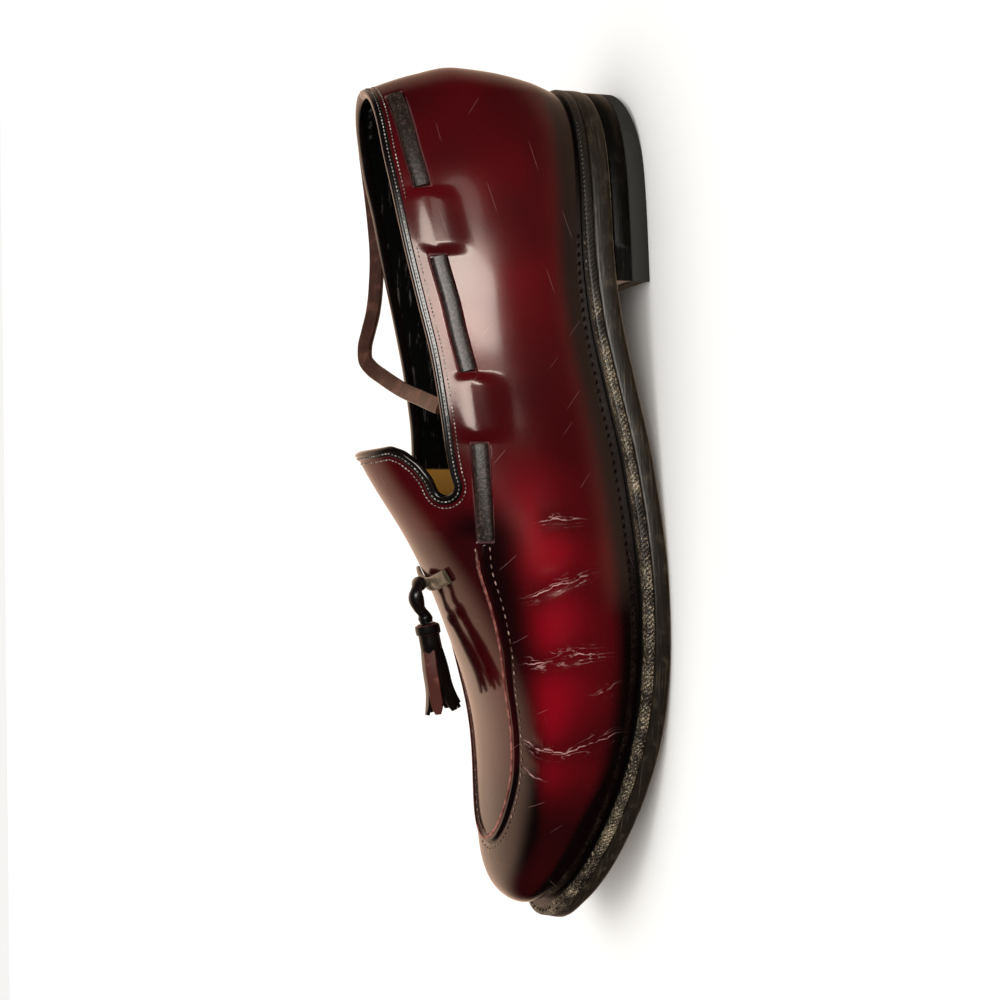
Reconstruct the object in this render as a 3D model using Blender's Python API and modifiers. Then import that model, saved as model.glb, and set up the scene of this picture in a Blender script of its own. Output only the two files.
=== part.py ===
"""A left tassel loafer: hollow leather upper, welted leather sole, stacked heel, lace and tassels.

Every length is in millimetres until to_world() turns it into metres. A point of the shoe is given by
its side (lateral is positive), its station (distance forward from the bulge of the heel) and its
height above the floor. In the world the toe points to -Y, the lateral side to +X and up is +Z.
"""

import math
from functools import partial

import bmesh
import bpy
import numpy as np
from mathutils import Vector

# Driving dimensions, in millimetres.
LAST_LENGTH = 300.0  # upper, from the bulge of the heel to the toe
BALL_HALF = 48.3  # half width of the upper over the ball
SEAT_HEIGHT = 23.0  # top of the welt at the heel
CREST_HEIGHT = 113.0  # crown of the last over the heel, which the collar cuts away
WALL = 2.2  # leather and lining together
GAP = 0.3  # clearance between two pieces that touch
WELT_THICKNESS = 3.0
HEEL_LIFT = 6.4  # thickness of the rubber top piece
HEEL_BREAST = 78.0  # station of the heel's front face
LACE_WIDTH = 5.2
LACE_THICKNESS = 1.3
WORLD_STATION = 152.46  # station that lies on the world's Y = 0
WORLD_SIDE = 1.83  # side that lies on the world's X = 0

# Sections of the last: stations are shares of LAST_LENGTH, swing and half width of BALL_HALF, seat
# (the welt's top) of SEAT_HEIGHT and crown of CREST_HEIGHT. Fullness is the power of the curve.
SECTION_COLUMNS = ("station", "swing", "half", "seat", "crown", "fullness")
SECTIONS = (
    (0.000, 0.000, 0.000, 1.000, 0.990, 2.20),
    (0.017, 0.000, 0.330, 1.000, 0.990, 2.20),
    (0.040, 0.000, 0.485, 1.000, 0.990, 2.20),
    (0.083, 0.000, 0.620, 1.000, 0.990, 2.20),
    (0.150, 0.000, 0.695, 1.000, 1.000, 2.20),
    (0.217, 0.005, 0.710, 0.995, 1.000, 2.20),
    (0.300, 0.030, 0.705, 0.910, 0.980, 2.20),
    (0.383, 0.070, 0.715, 0.715, 0.925, 2.20),
    (0.467, 0.100, 0.760, 0.525, 0.820, 2.12),
    (0.550, 0.100, 0.850, 0.430, 0.682, 2.06),
    (0.617, 0.072, 0.935, 0.398, 0.588, 2.10),
    (0.683, 0.027, 0.995, 0.396, 0.512, 2.15),
    (0.733, -0.010, 1.000, 0.420, 0.460, 2.20),
    (0.783, -0.045, 0.963, 0.478, 0.428, 2.25),
    (0.833, -0.082, 0.885, 0.575, 0.416, 2.30),
    (0.883, -0.128, 0.770, 0.710, 0.414, 2.35),
    (0.927, -0.175, 0.635, 0.865, 0.408, 2.35),
    (0.960, -0.210, 0.490, 0.995, 0.390, 2.30),
    (0.984, -0.235, 0.330, 1.080, 0.360, 2.20),
    (1.000, -0.250, 0.000, 1.125, 0.239, 2.10),
)
WIDEST_SHARE = 0.26  # height of a section's widest point, as a share of the section
WIDEST_LIMIT = 16.0  # that point is never more than this above the seat
TUCK = math.radians(24)  # turn of the wall under its widest point
TUCK_IN_LATERAL = 0.35  # share of the tuck's inward reach on each side
TUCK_IN_MEDIAL = 1.0

# The back leans: height above the floor against distance forward of the bulge.
BACK_LEAN = (
    (23.0, 7.0),
    (34.0, 3.0),
    (48.0, 0.6),
    (60.0, 0.0),
    (74.0, 3.4),
    (84.0, 7.0),
    (94.0, 11.5),
    (113.0, 21.0),
)
BACK_LEAN_REACH = 80.0
# The toe is undercut: height above the seat against distance behind the front of the toe.
TOE_UNDERCUT = ((0.0, 3.2), (4.0, 2.2), (9.0, 0.6), (15.0, 0.0), (60.0, 0.0))
TOE_UNDERCUT_REACH = 30.0

# Side view of the collar's edge on the lateral side: station and height, from the back to the throat.
COLLAR_EDGE = (
    (-8.0, 94.5),
    (13.0, 93.0),
    (34.0, 91.0),
    (51.0, 87.9),
    (69.0, 84.2),
    (87.0, 80.1),
    (104.0, 76.2),
    (124.0, 73.2),
    (138.0, 71.4),
    (144.0, 70.2),
)
COLLAR_STEPS = 19
OPENING_HEIGHT = 60.0  # the opening's cutter reaches this far above the tongue
THROAT_CENTRE = (147.8, 71.8)  # middle of the round notch between collar and tongue
THROAT_RADIUS = 2.8
THROAT_ARC = (-95, 60)  # degrees
TONGUE_EDGE = ((144.5, 76.2), (139.5, 80.0), (135.6, 84.8), (134.0, 89.3), (135.0, 94.0), (136.5, 103.0))
# How far the medial edge lies below the lateral one: station and drop, between sides +31 and -31.
COLLAR_DROP = (
    (0.0, 0.5),
    (9.0, 2.0),
    (32.0, 6.0),
    (51.0, 7.5),
    (80.0, 7.0),
    (104.0, 5.8),
    (124.0, 5.2),
    (146.0, 2.5),
    (170.0, 0.0),
)
COLLAR_DROP_SIDE = 31.0
BINDING_WIDTH = 3.0
BINDING_SHELL_END = 175.0  # the binding is cut from the last's back part, up to this station
BINDING_PROUD = 0.4  # how far the binding stands out from the wall on both faces

# The apron's raised seam on the lateral side: station and turn. The medial side mirrors the turn.
APRON_SEAM = (
    (167.0, 0.295),
    (177.0, 0.313),
    (189.0, 0.320),
    (202.0, 0.333),
    (219.0, 0.360),
    (233.0, 0.367),
    (246.0, 0.372),
    (256.0, 0.393),
    (264.0, 0.425),
    (269.8, 0.458),
    (273.5, 0.500),
)
SEAM_HEIGHT = 1.1
SEAM_HALF_WIDTH = 1.7

# The lace's path along the quarters: station and turn on the lateral side.
LACE_PATH = (
    (0.0, 0.266),
    (8.0, 0.263),
    (29.0, 0.251),
    (47.0, 0.234),
    (72.0, 0.216),
    (90.0, 0.206),
    (109.0, 0.204),
    (133.0, 0.223),
    (148.0, 0.245),
    (168.0, 0.287),
)
# Where the lace shows: the first and last station of each window.
LATERAL_WINDOWS = {"rear": (9.0, 46.5), "middle": (71.0, 109.0), "front": (133.5, 165.5)}
MEDIAL_WINDOWS = {"rear": (10.0, 35.0), "middle": (54.0, 85.0), "front": (110.0, 142.0)}
# The lace across the vamp, from slot to slot: station and turn.
VAMP_STRAP = (
    (177.2, 0.405),
    (178.6, 0.435),
    (179.9, 0.468),
    (180.5, 0.500),
    (179.9, 0.532),
    (178.6, 0.565),
    (177.2, 0.595),
)
TUNNEL_HEIGHT = 1.7  # rise of the leather over the hidden lace
TUNNEL_HALF_WIDTH = 6.5
TUNNEL_END = 5.0  # length over which a tunnel rises
WINDOW_DEPTH = 1.25
WINDOW_MARGIN = 0.4  # clearance around the lace in its window

STRAP_LIFT = 0.5
# The knot over the strap, from one tassel's head to the other's: station, side and height.
KNOT_RADIUS = 1.8
KNOT_ROUTE = (
    (195.4, -6.4, 67.9),
    (192.8, -6.2, 68.7),
    (189.4, -5.6, 71.0),
    (185.0, -3.4, 72.8),
    (181.0, 0.4, 72.6),
    (181.2, 4.6, 74.3),
    (184.8, 7.4, 75.6),
    (189.0, 7.0, 74.6),
    (191.7, 6.0, 72.4),
    (194.1, 5.6, 71.7),
)
# The slack end of the lace over the medial side, from the rear window into the shoe.
SLACK_RADIUS = 2.8
SLACK_ROUTE = (
    (14.0, -20.0, 85.3),
    (19.0, -24.3, 84.6),
    (25.0, -27.6, 83.4),
    (33.0, -30.8, 81.6),
    (47.0, -34.0, 79.2),
    (62.0, -34.2, 78.2),
    (74.0, -33.6, 78.9),
    (82.0, -32.7, 80.1),
    (89.5, -31.6, 82.2),
    (95.6, -30.4, 83.9),
    (100.0, -28.4, 84.3),
    (103.8, -25.2, 82.6),
    (107.0, -20.6, 79.8),
    (112.5, -8.0, 75.8),
    (116.5, 8.0, 73.3),
    (119.5, 21.0, 71.8),
    (120.4, 25.5, 71.2),
)

# Tassels: head and tip of the axis (station, side, height), then the size of head and strips.
TASSEL_AXES = {
    "lateral": ((194.5, 5.6, 71.6), (226.2, 5.8, 65.6)),
    "medial": ((195.8, -6.4, 67.8), (226.4, -8.0, 61.6)),
}
TASSEL_HEAD_RADIUS = 3.6
TASSEL_HEAD_LENGTH = 13.0
TASSEL_STRIPS = 6
TASSEL_STRIP_WIDTH = 3.6
TASSEL_STRIP_THICKNESS = 1.3
TASSEL_STRIP_START = 7.0
# A strip's distance from the axis along its length: share of the tassel's length and distance.
TASSEL_SPLAY = ((0.0, 2.9), (0.35, 3.8), (0.7, 4.1), (1.0, 4.4))

# Edge of the sole beyond the upper's foot, on each side: station and reach.
REACH_LATERAL = (
    (0.0, 1.5),
    (40.0, 3.0),
    (90.0, 5.0),
    (150.0, 6.0),
    (230.0, 5.0),
    (270.0, 4.2),
    (290.0, 4.2),
    (300.0, 6.4),
)
REACH_MEDIAL = ((0.0, 1.5), (40.0, 2.6), (100.0, 2.4), (150.0, 3.2), (210.0, 4.8), (290.0, 4.4), (300.0, 6.4))
# Thickness of the whole sole edge, from the welt's top to the tread: station and thickness.
EDGE_THICKNESS = (
    (0.0, 10.3),
    (78.0, 10.3),
    (115.0, 9.9),
    (150.0, 9.4),
    (180.0, 9.25),
    (240.0, 9.0),
    (300.0, 8.2),
)
INSOLE_RISE = 2.5  # the insole's top above the welt's top
HEEL_WEAR = 4.2  # height worn off the heel's back lateral corner
HEEL_WEAR_REACH = 34.0  # station where the worn slope meets the flat of the heel
HEEL_WEAR_SPAN = 70.0  # side to side distance over which the wear fades medially
FOOT_INSET = 3.0  # the welt reaches this far in under the upper's wall

# The upper's grid of rows (stations) and columns (turns).
INSIDE_POINT = (0.0, 150.0, 30.0)  # a point in the shoe, for telling outward from inward
SIDE_COLUMNS = 10  # cells between the foot and the apron seam on each side
APRON_COLUMNS = 5  # cells between the apron seam and the crown on each side
SEAM_HALF_TURN = 0.013  # turn from the seam's middle to the column on each side of it
SEAM_LAST_TURN = 0.468  # the columns leave the seam here, where it bends round the toe
HEEL_ROWS = 10
HEEL_ROWS_END = 60.0
MIDDLE_ROWS = 27
TOE_ROWS = 9
TOE_ROWS_START = 262.0

CUTTER_HALF_WIDTH = 48.0  # the side cutters reach this far on both sides
WINDOW_CUT_HEIGHT = 2.5  # a window's cutter, from its floor up
KNOT_SPACING = 2.4  # distance between two points of a cord
SLACK_SPACING = 6.0
STRIP_ROWS = 6  # cells along a lace's bar
TASSEL_SIDES = 14
TASSEL_STRIP_ROWS = 5
TASSEL_TAPER = 0.9  # end radius of a tassel's head, as a share of its start
OUTLINE_POINTS = 34  # along each edge of the sole
PLATE_COLUMNS = 3  # cells across the sole
HEEL_INSET = 0.4  # step from the outsole's edge in to the heel's
MERGE = 0.05  # vertices closer than this are one

COLLECTION = "tassel_loafer"
CUTTERS = "cutters"


# ---------------------------------------------------------------- curves through the tables


def smooth_curve(positions, values, where):
    """Monotone cubic through a table, read at the given positions."""
    positions = np.asarray(positions, float)
    values = np.asarray(values, float)
    where = np.asarray(where, float)
    slopes = np.diff(values) / np.diff(positions)
    tangents = np.zeros_like(values)
    same_way = slopes[:-1] * slopes[1:] > 0
    harmonic = 2 * slopes[:-1] * slopes[1:] / np.where(same_way, slopes[:-1] + slopes[1:], 1.0)
    tangents[1:-1] = np.where(same_way, harmonic, 0.0)
    tangents[0] = slopes[0]
    tangents[-1] = slopes[-1]
    cell = np.clip(np.searchsorted(positions, where) - 1, 0, len(positions) - 2)
    width = positions[cell + 1] - positions[cell]
    t = (where - positions[cell]) / width
    return (
        values[cell] * (1 + 2 * t) * (1 - t) ** 2
        + tangents[cell] * width * t * (1 - t) ** 2
        + values[cell + 1] * t * t * (3 - 2 * t)
        + tangents[cell + 1] * width * t * t * (t - 1)
    )


def read_table(table, where):
    """Second column of a two-column table, as a smooth curve over the first."""
    columns = np.array(table)
    inside = np.clip(where, columns[0, 0], columns[-1, 0])
    return smooth_curve(columns[:, 0], columns[:, 1], inside)


def section_value(name, station):
    """One column of the section table at a station, in millimetres."""
    table = np.array(SECTIONS)
    scale = {"swing": BALL_HALF, "half": BALL_HALF, "seat": SEAT_HEIGHT, "crown": CREST_HEIGHT}
    stations = table[:, 0] * LAST_LENGTH
    values = table[:, SECTION_COLUMNS.index(name)] * scale.get(name, 1.0)
    station = np.clip(station, 0.0, LAST_LENGTH)
    if name == "half":
        return np.sqrt(np.maximum(smooth_curve(stations, values**2, station), 0.0))
    if name == "crown":
        seats = table[:, SECTION_COLUMNS.index("seat")] * SEAT_HEIGHT
        rise = smooth_curve(stations, (values - seats) ** 2, station)
        return section_value("seat", station) + np.sqrt(np.maximum(rise, 0.0))
    return smooth_curve(stations, values, station)


# ---------------------------------------------------------------- the last


def last_point(station, turn):
    """Point of the last: turn runs from 0 at the lateral foot over the crown to 1 at the medial foot."""
    station, turn = np.broadcast_arrays(np.asarray(station, float), np.asarray(turn, float))
    angle = -TUCK + turn * (math.pi + 2 * TUCK)
    across = np.cos(angle)
    rise = np.sin(angle)
    power = 2.0 / section_value("fullness", station)
    half = section_value("half", station)
    seat = section_value("seat", station) + GAP
    crown = np.maximum(section_value("crown", station), seat)
    widest = seat + np.minimum(WIDEST_SHARE * (crown - seat), WIDEST_LIMIT)
    tuck_in = np.where(across > 0, TUCK_IN_LATERAL, TUCK_IN_MEDIAL)
    outward = np.abs(across) ** power
    outward = np.where(rise < 0, 1.0 - tuck_in * (1.0 - outward), outward)
    side = section_value("swing", station) + half * np.sign(across) * outward
    over = widest + (crown - widest) * np.abs(rise) ** power
    under = widest - (widest - seat) * np.abs(rise) / math.sin(TUCK)
    height = np.where(rise >= 0, over, under)
    lean = read_table(BACK_LEAN, height) * np.clip(1 - station / BACK_LEAN_REACH, 0, 1) ** 2
    toe = np.clip((station - LAST_LENGTH) / TOE_UNDERCUT_REACH + 1, 0, 1) ** 2
    forward = station + lean - read_table(TOE_UNDERCUT, height - seat) * toe
    return np.stack([side, forward, height], axis=-1)


def last_frame(station, turn):
    """Point, unit normal (outward) and the two rates of change of the last."""
    step_station = 0.5
    step_turn = 0.002
    station, turn = np.broadcast_arrays(np.asarray(station, float), np.asarray(turn, float))
    behind = np.clip(station - step_station, 0.01, LAST_LENGTH - 0.01)
    ahead = np.clip(station + step_station, 0.02, LAST_LENGTH)
    along = (last_point(ahead, turn) - last_point(behind, turn)) / (ahead - behind)[..., None]
    low = np.clip(turn - step_turn, 0, 1)
    high = np.clip(turn + step_turn, 0, 1)
    around = (last_point(station, high) - last_point(station, low)) / (high - low)[..., None]
    normal = np.cross(along, around)
    normal /= np.maximum(np.linalg.norm(normal, axis=-1, keepdims=True), 1e-9)
    return last_point(station, turn), normal, along, around


def lace_turn(station, medial=False):
    """Turn of the lace's path at a station."""
    turn = read_table(LACE_PATH, station)
    return 1 - turn if medial else turn


def seam_turn(station):
    """Turn of the apron seam at a station, held level behind its start."""
    return read_table(APRON_SEAM, station)


def soft_step(value):
    """Smooth step from 0 to 1."""
    value = np.clip(value, 0, 1)
    return value * value * (3 - 2 * value)


def tunnel_relief(station, turn, around):
    """Rise of the leather where the lace runs under it between two windows."""
    relief = np.zeros_like(station)
    for medial, windows in ((False, LATERAL_WINDOWS), (True, MEDIAL_WINDOWS)):
        away = np.abs(turn - lace_turn(station, medial)) * np.linalg.norm(around, axis=-1)
        across = soft_step(1 - away / TUNNEL_HALF_WIDTH)
        spans = sorted(windows.values())
        for (_, start), (end, _) in zip(spans[:-1], spans[1:]):
            inside = np.minimum(station - start, end - station) / TUNNEL_END
            relief = relief + TUNNEL_HEIGHT * across * soft_step(inside)
    return relief


def seam_line(count=90):
    """Points of the whole apron seam, from its lateral start round the toe to its medial start."""
    rows = np.array(APRON_SEAM)
    mirrored = np.stack([rows[-2::-1, 0], 1 - rows[-2::-1, 1]], axis=-1)
    rows = np.concatenate([rows, mirrored])
    marks = np.arange(len(rows))
    where = np.linspace(0, len(rows) - 1, count)
    return last_point(smooth_curve(marks, rows[:, 0], where), smooth_curve(marks, rows[:, 1], where))


def seam_relief(points):
    """Height of the apron seam's ridge at points of the last."""
    line = seam_line()
    away = np.full(points.shape[:-1], 1e9)
    for spot in line:
        away = np.minimum(away, np.linalg.norm(points - spot, axis=-1))
    return SEAM_HEIGHT * soft_step(1.35 - away / SEAM_HALF_WIDTH)


def upper_point(station, turn, lift=0.0):
    """Point of the upper's outer face, with its tunnels and raised seam, lifted along its normal."""
    point, normal, _, around = last_frame(station, turn)
    station, turn = np.broadcast_arrays(np.asarray(station, float), np.asarray(turn, float))
    relief = tunnel_relief(station, turn, around) + seam_relief(point)
    return point + normal * (relief + lift)[..., None]


# ---------------------------------------------------------------- Blender helpers


def to_world(points):
    """Shoe coordinates in millimetres to world coordinates in metres."""
    points = np.asarray(points, float)
    world = np.empty_like(points)
    world[..., 0] = points[..., 0] - WORLD_SIDE
    world[..., 1] = WORLD_STATION - points[..., 1]
    world[..., 2] = points[..., 2]
    return world * 0.001


def new_collection(name):
    collection = bpy.data.collections.new(name)
    bpy.context.scene.collection.children.link(collection)
    return collection


def new_material(name, colour, roughness, metallic=0.0):
    material = bpy.data.materials.new(name)
    material.use_nodes = True
    shader = material.node_tree.nodes["Principled BSDF"]
    shader.inputs["Base Color"].default_value = (*colour, 1.0)
    shader.inputs["Roughness"].default_value = roughness
    shader.inputs["Metallic"].default_value = metallic
    return material


def new_object(name, data, material=None, cutter=False):
    piece = bpy.data.objects.new(name, data)
    bpy.data.collections[CUTTERS if cutter else COLLECTION].objects.link(piece)
    if cutter:
        piece.hide_render = True
        piece.display_type = "WIRE"
    if material:
        data.materials.append(material)
    return piece


def finish_mesh(bm, name):
    """Bmesh to a smooth-shaded mesh with its faces pointing out."""
    mesh = bpy.data.meshes.new(name)
    bm.to_mesh(mesh)
    bm.free()
    mesh.shade_smooth()
    mesh.set_sharp_from_angle(angle=math.radians(40))
    return mesh


def mapped_grid(columns, rows, place):
    """Grid of columns by rows cells, each vertex moved to place(column share, row share)."""
    bm = bmesh.new()
    bmesh.ops.create_grid(bm, x_segments=columns, y_segments=rows, size=1.0)
    shares = np.array([(vert.co.x, vert.co.y) for vert in bm.verts]) * 0.5 + 0.5
    for vert, point in zip(bm.verts, to_world(place(shares[:, 0], shares[:, 1]))):
        vert.co = point
    return bm


def face_away(bm, centre):
    """Turns the faces of an open surface so that they point away from a point of the shoe."""
    bmesh.ops.recalc_face_normals(bm, faces=bm.faces)
    middle = Vector(to_world(centre))
    outward = sum(face.normal.dot(face.calc_center_median() - middle) for face in bm.faces)
    if outward < 0:
        bmesh.ops.reverse_faces(bm, faces=bm.faces)


def add_solidify(piece, thickness, offset):
    """Wall of the given thickness: offset -1 grows inward, 1 outward."""
    solidify = piece.modifiers.new("wall", "SOLIDIFY")
    solidify.thickness = thickness * 0.001
    solidify.offset = offset
    solidify.use_even_offset = True
    solidify.use_rim = True


def add_boolean(piece, other, operation):
    boolean = piece.modifiers.new(other.name, "BOOLEAN")
    boolean.operation = operation
    boolean.solver = "EXACT"
    boolean.use_hole_tolerant = True
    boolean.object = other


def side_prism(name, outline):
    """Cutter: an outline of stations and heights, swept across the shoe and dropped medially."""
    drop = read_table(COLLAR_DROP, outline[:, 0])

    def across(side):
        share = (COLLAR_DROP_SIDE - side) / (2 * COLLAR_DROP_SIDE)
        heights = outline[:, 1] - drop * share
        return to_world(np.column_stack([np.full(len(outline), side), outline[:, 0], heights]))

    bm = bmesh.new()
    near = across(-CUTTER_HALF_WIDTH)
    far = across(CUTTER_HALF_WIDTH)
    face = bm.faces.new([bm.verts.new(corner) for corner in near])
    swept = bmesh.ops.extrude_face_region(bm, geom=[face])
    far_verts = [item for item in swept["geom"] if isinstance(item, bmesh.types.BMVert)]
    for vert in far_verts:
        vert.co = far[np.argmin(np.abs(near - np.array(vert.co)).sum(axis=1))]
    bmesh.ops.triangulate(bm, faces=bm.faces, quad_method="FIXED", ngon_method="EAR_CLIP")
    bmesh.ops.recalc_face_normals(bm, faces=bm.faces)
    return new_object(name, finish_mesh(bm, name), cutter=True)


# ---------------------------------------------------------------- upper


def collar_edge(growth=0.0):
    """Side view of the opening's edge, from the back to the tongue, grown outwards."""
    arc = np.radians(np.linspace(*THROAT_ARC, 8))
    centre = np.array(THROAT_CENTRE)
    throat = centre + THROAT_RADIUS * np.stack([np.cos(arc), np.sin(arc)], axis=-1)
    back, collar = np.array(COLLAR_EDGE)[[0, -1], 0]
    stations = np.linspace(back, collar, COLLAR_STEPS)
    topline = np.stack([stations, read_table(COLLAR_EDGE, stations)], axis=-1)
    edge = np.concatenate([topline, throat, np.array(TONGUE_EDGE)])
    tangent = np.gradient(edge, axis=0)
    normal = np.stack([tangent[:, 1], -tangent[:, 0]], axis=-1)
    normal /= np.linalg.norm(normal, axis=-1, keepdims=True)
    return edge + normal * growth


def opening_outline(growth):
    """The collar's edge closed high above the shoe."""
    edge = collar_edge(growth)
    roof = edge[-1, 1] + OPENING_HEIGHT
    return np.concatenate([edge, [(edge[-1, 0], roof), (edge[0, 0], roof)]])


def column_turns(share, station):
    """Turn of a grid column: the columns follow the apron seam, with three close ones along it."""
    mirrored = np.minimum(share, 1 - share)
    cells = SIDE_COLUMNS + APRON_COLUMNS + 2
    place = mirrored * 2 * cells
    seam = np.minimum(seam_turn(station), SEAM_LAST_TURN)
    low = seam - SEAM_HALF_TURN
    high = seam + SEAM_HALF_TURN
    below = np.clip(place / SIDE_COLUMNS, 0, 1) * low
    on_seam = np.clip((place - SIDE_COLUMNS) / 2, 0, 1) * (high - low)
    above = np.clip((place - SIDE_COLUMNS - 2) / APRON_COLUMNS, 0, 1) * (0.5 - high)
    turn = below + on_seam + above
    return np.where(share > 0.5, 1 - turn, turn)


def upper_stations():
    """Stations of the upper's rows, closer together at the heel and the toe."""
    heel = HEEL_ROWS_END * (1 - np.cos(np.linspace(0, math.pi / 2, HEEL_ROWS)))
    middle = np.linspace(HEEL_ROWS_END, TOE_ROWS_START, MIDDLE_ROWS)[1:-1]
    tip = APRON_SEAM[-1][0]
    seam_rows = np.array([TOE_ROWS_START, tip - 5.0, tip - 2.0, tip, tip + 2.0])
    quarter = np.linspace(0, math.pi / 2, TOE_ROWS)[1:]
    toe = seam_rows[-1] + (LAST_LENGTH - GAP - seam_rows[-1]) * np.sin(quarter)
    return np.concatenate([heel, middle, seam_rows, toe])


def shell_mesh(name, lift, end=LAST_LENGTH):
    """The last's surface as a mesh, open along the foot and, where it ends short of the toe, in front."""
    stations = upper_stations()
    stations = stations[stations < end]
    columns = 2 * (SIDE_COLUMNS + APRON_COLUMNS + 2)

    def place(column, row):
        station = stations[np.rint(row * (len(stations) - 1)).astype(int)]
        point = upper_point(station, column_turns(column, station), lift)
        point[station < 0.001, 0] = 0.0
        return point

    bm = mapped_grid(columns, len(stations) - 1, place)
    if end == LAST_LENGTH:
        bm.verts.ensure_lookup_table()
        bm.faces.new(bm.verts[-columns - 1 :])
    bmesh.ops.remove_doubles(bm, verts=bm.verts, dist=MERGE * 0.001)
    face_away(bm, INSIDE_POINT)
    return finish_mesh(bm, name)


def make_upper(material):
    upper = new_object("upper", shell_mesh("upper", 0.0), material)
    add_solidify(upper, WALL, -1.0)
    opening = side_prism("opening", opening_outline(BINDING_WIDTH))
    add_boolean(upper, opening, "DIFFERENCE")
    for medial, windows in ((False, LATERAL_WINDOWS), (True, MEDIAL_WINDOWS)):
        side = "medial" if medial else "lateral"
        for place, (start, end) in windows.items():
            half = LACE_WIDTH / 2 + WINDOW_MARGIN
            span = (start - WINDOW_MARGIN, end + WINDOW_MARGIN)
            top = WINDOW_CUT_HEIGHT
            window = lace_strip(f"window_{side}_{place}", span, medial, half, -WINDOW_DEPTH, top)
            add_boolean(upper, window, "DIFFERENCE")


def make_binding(material):
    """Folded strip around the collar's edge: a slightly thicker wall between two collar outlines."""
    mesh = shell_mesh("collar_binding", BINDING_PROUD, BINDING_SHELL_END)
    binding = new_object("collar_binding", mesh, material)
    add_solidify(binding, WALL + 2 * BINDING_PROUD, -1.0)
    band = np.concatenate([collar_edge(BINDING_WIDTH - GAP), collar_edge(0.0)[::-1]])
    add_boolean(binding, side_prism("binding_band", band), "INTERSECT")


# ---------------------------------------------------------------- lace


def strip_mesh(name, route, half_width, low, high):
    """Flat strip lying on the upper along a route of stations and turns."""
    stations = np.array([point[0] for point in route], float)
    turns = np.array([point[1] for point in route], float)
    point, normal, _, _ = last_frame(stations, turns)
    along = np.gradient(point, axis=0)
    side = np.cross(normal, along)
    side /= np.linalg.norm(side, axis=-1, keepdims=True)
    foot = point + normal * low

    def place(column, row):
        cell = np.rint(row * (len(route) - 1)).astype(int)
        return foot[cell] + side[cell] * ((2 * column - 1) * half_width)[:, None]

    bm = mapped_grid(2, len(route) - 1, place)
    face_away(bm, INSIDE_POINT)
    mesh = finish_mesh(bm, name)
    return mesh, high - low


def lace_strip(name, span, medial, half_width, low, high, material=None):
    """Part of the lace between two stations: a piece with a material, or a cutter without one."""
    stations = np.linspace(span[0], span[1], STRIP_ROWS + 1)
    route = [(station, float(lace_turn(station, medial))) for station in stations]
    mesh, thickness = strip_mesh(name, route, half_width, low, high)
    strip = new_object(name, mesh, material, cutter=material is None)
    add_solidify(strip, thickness, 1.0)
    return strip


def make_lace(material):
    low = -WINDOW_DEPTH + GAP
    high = low + LACE_THICKNESS
    for place, span in LATERAL_WINDOWS.items():
        lace_strip(f"lace_lateral_{place}", span, False, LACE_WIDTH / 2, low, high, material)
    span = MEDIAL_WINDOWS["front"]
    lace_strip("lace_medial_front", span, True, LACE_WIDTH / 2, low, high, material)
    top = STRAP_LIFT + LACE_THICKNESS
    mesh, thickness = strip_mesh("vamp_strap", VAMP_STRAP, LACE_WIDTH / 2, STRAP_LIFT, top)
    strap = new_object("vamp_strap", mesh, material)
    add_solidify(strap, thickness, 1.0)


def tube(name, route, radius, spacing, material):
    """Cord: a round tube along a smooth curve through the route's points."""
    route = np.array([(side, station, height) for station, side, height in route])
    lengths = np.concatenate([[0.0], np.cumsum(np.linalg.norm(np.diff(route, axis=0), axis=1))])
    where = np.linspace(0, lengths[-1], int(round(lengths[-1] / spacing)) + 1)
    points = to_world(np.column_stack([smooth_curve(lengths, route[:, axis], where) for axis in range(3)]))
    curve = bpy.data.curves.new(name, "CURVE")
    curve.dimensions = "3D"
    curve.bevel_depth = radius * 0.001
    curve.bevel_resolution = 2
    curve.use_fill_caps = True
    spline = curve.splines.new("POLY")
    spline.points.add(len(points) - 1)
    for point, place in zip(spline.points, points):
        point.co = (*place, 1.0)
    return new_object(name, curve, material)


def make_cords(material):
    tube("lace_knot", KNOT_ROUTE, KNOT_RADIUS, KNOT_SPACING, material)
    tube("lace_slack", SLACK_ROUTE, SLACK_RADIUS, SLACK_SPACING, material)


# ---------------------------------------------------------------- tassels


def tassel_strip(name, angle, length, frame):
    """One strip of a tassel, in the tassel's own frame with its axis along +Z."""
    start = TASSEL_STRIP_START
    outward = np.array([math.cos(angle), math.sin(angle), 0.0])
    side = np.array([-math.sin(angle), math.cos(angle), 0.0])
    bm = bmesh.new()
    bmesh.ops.create_grid(bm, x_segments=1, y_segments=TASSEL_STRIP_ROWS, size=1.0)
    for vert in bm.verts:
        share = (vert.co.y + 1) / 2
        away = float(read_table(TASSEL_SPLAY, share))
        along = start + (length - start) * share
        point = outward * away + side * (vert.co.x * TASSEL_STRIP_WIDTH / 2) + np.array([0, 0, along])
        vert.co = point * 0.001
    strip = new_object(name, finish_mesh(bm, name), cutter=True)
    strip.matrix_world = frame
    add_solidify(strip, TASSEL_STRIP_THICKNESS, 0.0)
    return strip


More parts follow.
